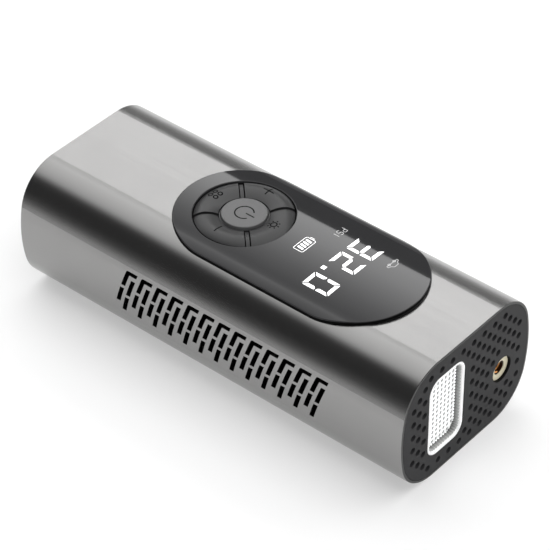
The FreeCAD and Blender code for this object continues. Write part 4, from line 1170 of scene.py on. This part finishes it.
RAY_REACH = (1.6, 2.2)
rays = [[(reach * math.cos(k * math.pi / 4), reach * math.sin(k * math.pi / 4)) for reach in RAY_REACH]
        for k in range(8)]
rings = [arc((x, y), 0.75, 0, 360, 14) for x in (-1.1, 1.1) for y in (-1.15, 1.15)]
SIGNS = (
    ("power_button", "sign_power", from_ring([arc((0, 0), 3.2, 35, 325, 30), [(0.7, 0), (4.2, 0)]], 0, 0)),
    ("mode_button", "sign_mode", from_ring(rings, -13.4, 0.85)),
    ("minus_button", "sign_minus", from_ring([[(0, -2), (0, 2)]], -0.9, -12.1)),
    ("plus_button", "sign_plus", from_ring([[(-2.2, 0), (2.2, 0)], [(0, -2.05), (0, 2.05)]], -0.8, 13.4)),
    ("light_button", "sign_light", from_ring([arc((0, 0), 1.1, 0, 360, 16)] + rays, 11.9, 0.9)),
)
for button, name, strokes in SIGNS:
    printed_sign(name, strokes, button)
print("signs on the buttons:", [name for button, name, strokes in SIGNS])

# %% [markdown]
# The lamp sits in a white frame with a rounded rim. It is a rectangle with round corners, so its cage
# is four loops round that outline, and a Bevel modifier rounds the two front edges.

# %% Lamp frame
LAMP_CORNER = 5.0 * MM
LAMP_WALL = 1.05 * MM
CORNER_STEP = 0.8 * MM
RIM_ROUND = 0.45 * MM
RIM_ANGLE = math.radians(50)


def rounded_outline(spacing):
    """Points (y, z) round the lamp's outline, about spacing apart."""
    y0, y1 = lamp_low.y + LAMP_CORNER, lamp_high.y - LAMP_CORNER
    z0, z1 = lamp_low.z + LAMP_CORNER, lamp_high.z - LAMP_CORNER
    bends = (((y1, z0), 270), ((y1, z1), 0), ((y0, z1), 90), ((y0, z0), 180))
    turns = max(3, round(LAMP_CORNER * math.pi / 2 / spacing))
    points = []
    for k, (centre, start) in enumerate(bends):
        bend = arc(centre, LAMP_CORNER, start, start + 90, turns)
        following, next_start = bends[(k + 1) % 4]
        ahead = arc(following, LAMP_CORNER, next_start, next_start + 90, 1)[0]
        count = max(1, round(math.dist(bend[-1], ahead) / spacing))
        run = [tuple(Vector(bend[-1]).lerp(Vector(ahead), i / count)) for i in range(1, count)]
        points += bend + run
    return points


def moved_in(outline, inset):
    """The outline moved inwards by inset, point for point."""
    y0, y1 = lamp_low.y + LAMP_CORNER, lamp_high.y - LAMP_CORNER
    z0, z1 = lamp_low.z + LAMP_CORNER, lamp_high.z - LAMP_CORNER
    moved = []
    for y, z in outline:
        core = Vector((min(max(y, y0), y1), min(max(z, z0), z1)))
        away = (Vector((y, z)) - core).normalized()
        moved.append(tuple(Vector((y, z)) - away * inset))
    return moved


def looped_piece(name, loops, closed, material):
    """Faces between loops given as (place along X, outline), whose outlines have the same count."""
    shape = bmesh.new()
    rows = [[shape.verts.new((x, y, z)) for y, z in outline] for x, outline in loops]
    for row, following in zip(rows, rows[1:] + rows[:1] if closed else rows[1:]):
        join_loops(shape, row, following)
    bmesh.ops.recalc_face_normals(shape, faces=shape.faces)
    return piece_of_faces(name, shape, material)


outer = rounded_outline(CORNER_STEP)
inner = moved_in(outer, LAMP_WALL)
lamp_frame = looped_piece("lamp_frame", [(lamp_low.x, outer), (LAMP_FACE, outer),
                                         (LAMP_FACE, inner), (lamp_low.x, inner)],
                          True, finishes["lamp_white"])
rim = lamp_frame.modifiers.new("rounded rim", "BEVEL")
rim.width = RIM_ROUND
rim.segments = 4
rim.limit_method = "ANGLE"
rim.angle_limit = RIM_ANGLE
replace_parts(lamp_frame, "lamp_bezel")
print("lamp frame points:", len(outer))

# %% [markdown]
# Inside the frame the wall is fluted, to scatter the light. A flute is a small fold in the outline, so
# every second point is moved inwards, and a Solidify modifier turns the folded strip into a wall.

# %% Fluted lamp wall
FLUTE = 1.3 * MM
FLUTE_DEPTH = 0.5 * MM
FLUTE_GAP = 0.06 * MM
FLUTE_BACK = lens_high.x - 0.2 * MM
FLUTE_FRONT = LAMP_FACE - 0.7 * MM
THIN_WALL = 0.08 * MM

fine = rounded_outline(FLUTE / 2)
if len(fine) % 2:
    fine = fine[:-1]
folded = []
for i, point in enumerate(fine):
    folded += moved_in([point], LAMP_WALL + FLUTE_GAP + (FLUTE_DEPTH if i % 2 else 0))
# The fluted wall glows faintly, painted light from the lamp, and is painted darker towards its back as
# painted shade.
flute_white = lit_plastic("lamp_flute_white", (0.5, 0.51, 0.5), (0.1, 0.1, 0.1), 0.05,
                          LAMP_FACE - 0.4 * MM, 2.2 * MM)
flutes = looped_piece("lamp_flutes", [(FLUTE_BACK, folded), (FLUTE_FRONT, folded)], False, flute_white)
thicken(flutes, "wall", THIN_WALL)
print("flutes:", len(folded) // 2)

# %% [markdown]
# The lens is a clear plate whose front is pressed with a grid of narrow dimples. The cage has nine
# faces a cell with the middle one pushed back, and a Subdivision Surface modifier rounds the dimples.

# %% Dimpled lens
CELL = 1.95 * MM
# Where a cell is cut, as shares of its width and height: its start, and the two sides of its dimple.
CUTS_Y, CUTS_Z = (0, 0.38, 0.62), (0, 0.2, 0.75)
DIMPLE_DEPTH = 0.7 * MM
LENS_GAP = 0.12 * MM
LENS_FRONT = lens_high.x - DIMPLE_DEPTH - 0.1 * MM


def inside_lamp(y, z, inset):
    corner = LAMP_CORNER - inset
    dy = max(lamp_low.y + inset + corner - y, y - lamp_high.y + inset + corner, 0)
    dz = max(lamp_low.z + inset + corner - z, z - lamp_high.z + inset + corner, 0)
    return math.hypot(dy, dz) <= corner


def cell_lines(low, high, cuts):
    """Places of the grid's lines from low to high, each with whether it bounds a dimple."""
    count = round((high - low) / CELL)
    size = (high - low) / count
    return [(low + (k + cut) * size, cut > 0) for k in range(count) for cut in cuts] + [(high, False)]


def dimpled_sheet(name):
    ys = cell_lines(lens_low.y, lens_high.y, CUTS_Y)
    zs = cell_lines(lens_low.z, lens_high.z, CUTS_Z)
    shape = bmesh.new()
    grid = [[shape.verts.new((lens_high.x - (DIMPLE_DEPTH if low_y and low_z else 0), y, z))
             for z, low_z in zs] for y, low_y in ys]
    for i in range(len(ys) - 1):
        for j in range(len(zs) - 1):
            corners = [(ys[a][0], zs[b][0]) for a in (i, i + 1) for b in (j, j + 1)]
            if all(inside_lamp(y, z, LAMP_WALL) for y, z in corners):
                shape.faces.new((grid[i][j], grid[i + 1][j], grid[i + 1][j + 1], grid[i][j + 1]))
    loose = [vert for vert in shape.verts if not vert.link_faces]
    bmesh.ops.delete(shape, geom=loose, context="VERTS")
    print("lens cells:", len(ys) // 3, "by", len(zs) // 3)
    return piece_of_faces(name, shape, finishes["lamp_clear"])


def lens_body(name):
    """The plate behind the dimples: a front, a back and the side between them."""
    outline = moved_in(outer, LAMP_WALL + LENS_GAP)
    shape = bmesh.new()
    front = [shape.verts.new((LENS_FRONT, y, z)) for y, z in outline]
    back = [shape.verts.new((lens_low.x, y, z)) for y, z in outline]
    shape.faces.new(front)
    shape.faces.new(list(reversed(back)))
    join_loops(shape, back, front)
    bmesh.ops.recalc_face_normals(shape, faces=shape.faces)
    return piece_of_faces(name, shape, finishes["lamp_clear"])


lens_face = dimpled_sheet("lamp_lens_face")
smooth = lens_face.modifiers.new("round dimples", "SUBSURF")
smooth.levels = 1
smooth.render_levels = 1
thicken(lens_face, "skin", THIN_WALL)
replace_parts(lens_body("lamp_lens_plate"), "lamp_lens")
print("lens plate:", lens_low.x, LENS_FRONT)

# %% [markdown]
# The outlet's pale ring is turned from bar, with a thread in the bore. A dark sheet whose mouth is wider
# lines the bore as painted shade, and a black sleeve round the ring is a painted shade on the wall of the
# cap's hole. Each is a small outline carried round an axis, which is what the Screw modifier does, and a
# thread also moves along it. Screw works about the object's own origin, so every piece is made there,
# turned to point along X and only then put in its place.

# %% Turned outlet pieces
ROUND_STEPS = 48
SAME_POINT = 0.001 * MM
TURNED_SHARP = math.radians(40)


def turned_piece(name, outline, place_x, material, turns=1, pitch=0.0):
    """An outline (radius, height) carried round the outlet's axis; height runs along +X from place_x."""
    shape = bmesh.new()
    corners = [shape.verts.new((radius, 0, height)) for radius, height in outline]
    for a, b in zip(corners, corners[1:] + corners[:1]):
        shape.edges.new((a, b))
    mesh = bpy.data.meshes.new(name)
    shape.to_mesh(mesh)
    shape.free()
    piece = bpy.data.objects.new(name, mesh)
    scene.collection.objects.link(piece)
    turning = piece.modifiers.new("turning", "SCREW")
    turning.angle = 2 * math.pi * turns
    turning.screw_offset = pitch * turns
    turning.steps = ROUND_STEPS * turns
    turning.render_steps = ROUND_STEPS * turns
    turning.use_merge_vertices = turns == 1
    turning.merge_threshold = SAME_POINT
    turned = bpy.data.meshes.new_from_object(piece.evaluated_get(bpy.context.evaluated_depsgraph_get()))
    piece.modifiers.clear()
    piece.data = turned
    turned.name = name
    along_x = Matrix.Translation((place_x, OUTLET.y, OUTLET.z)) @ Matrix.Rotation(math.pi / 2, 4, "Y")
    turned.transform(along_x)
    outward = bmesh.new()
    outward.from_mesh(turned)
    bmesh.ops.recalc_face_normals(outward, faces=outward.faces)
    outward.to_mesh(turned)
    outward.free()
    turned.materials.clear()
    turned.materials.append(material)
    turned.set_sharp_from_angle(angle=TURNED_SHARP)
    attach(piece, "housing")
    print(name, "faces:", len(turned.polygons))


RING_FACE = outlet_high.x
COLLAR_MM = ((2.62, 0.0), (2.62, 0.42), (2.7, 0.5), (4.5, 0.5), (4.6, 0.4), (4.6, 0.0))
turned_piece("outlet_ring", [(r * MM, h * MM) for r, h in COLLAR_MM], RING_FACE, outlet_face)

# The dark sheet is painted shade: it lines the bore's wall and covers the face round its mouth.
BORE_R = 2.2 * MM
BORE_DEPTH = 9 * MM
MOUTH_R = 2.64 * MM
SHADE_IN, SHADE_OUT = 0.06 * MM, 0.01 * MM
BORE_SHADE_OUTLINE = [(BORE_R - SHADE_IN, SHADE_IN), (MOUTH_R, SHADE_IN), (MOUTH_R, SHADE_OUT),
         (BORE_R - SHADE_OUT, SHADE_OUT), (BORE_R - SHADE_OUT, -BORE_DEPTH),
         (BORE_R - SHADE_IN, -BORE_DEPTH)]
turned_piece("outlet_bore_shade", BORE_SHADE_OUTLINE, RING_FACE, bore_shade)

PITCH = 1.1 * MM
TURNS = 7
THREAD_TOP = RING_FACE - 0.35 * MM
TOOTH_TIP, TOOTH_ROOT = BORE_R - 0.42 * MM, BORE_R - 0.05 * MM
TIP_HALF, ROOT_HALF = 0.05 * MM, 0.22 * MM
TOOTH = [(TOOTH_ROOT, ROOT_HALF), (TOOTH_TIP, TIP_HALF), (TOOTH_TIP, -TIP_HALF), (TOOTH_ROOT, -ROOT_HALF)]
turned_piece("outlet_thread", TOOTH, THREAD_TOP - PITCH * TURNS, thread_metal, TURNS, PITCH)

# The black sleeve is painted shade on the wall of the cap's hole round the ring.
WELL_R = 4.8 * MM
WELL_T = 0.12 * MM
WELL_L = 1.35 * MM
WELL = [(WELL_R - WELL_T, WELL_L), (WELL_R, WELL_L), (WELL_R, 0.0), (WELL_R - WELL_T, 0.0)]
turned_piece("outlet_well_shade", WELL, RING_FACE, finishes["panel_black"])
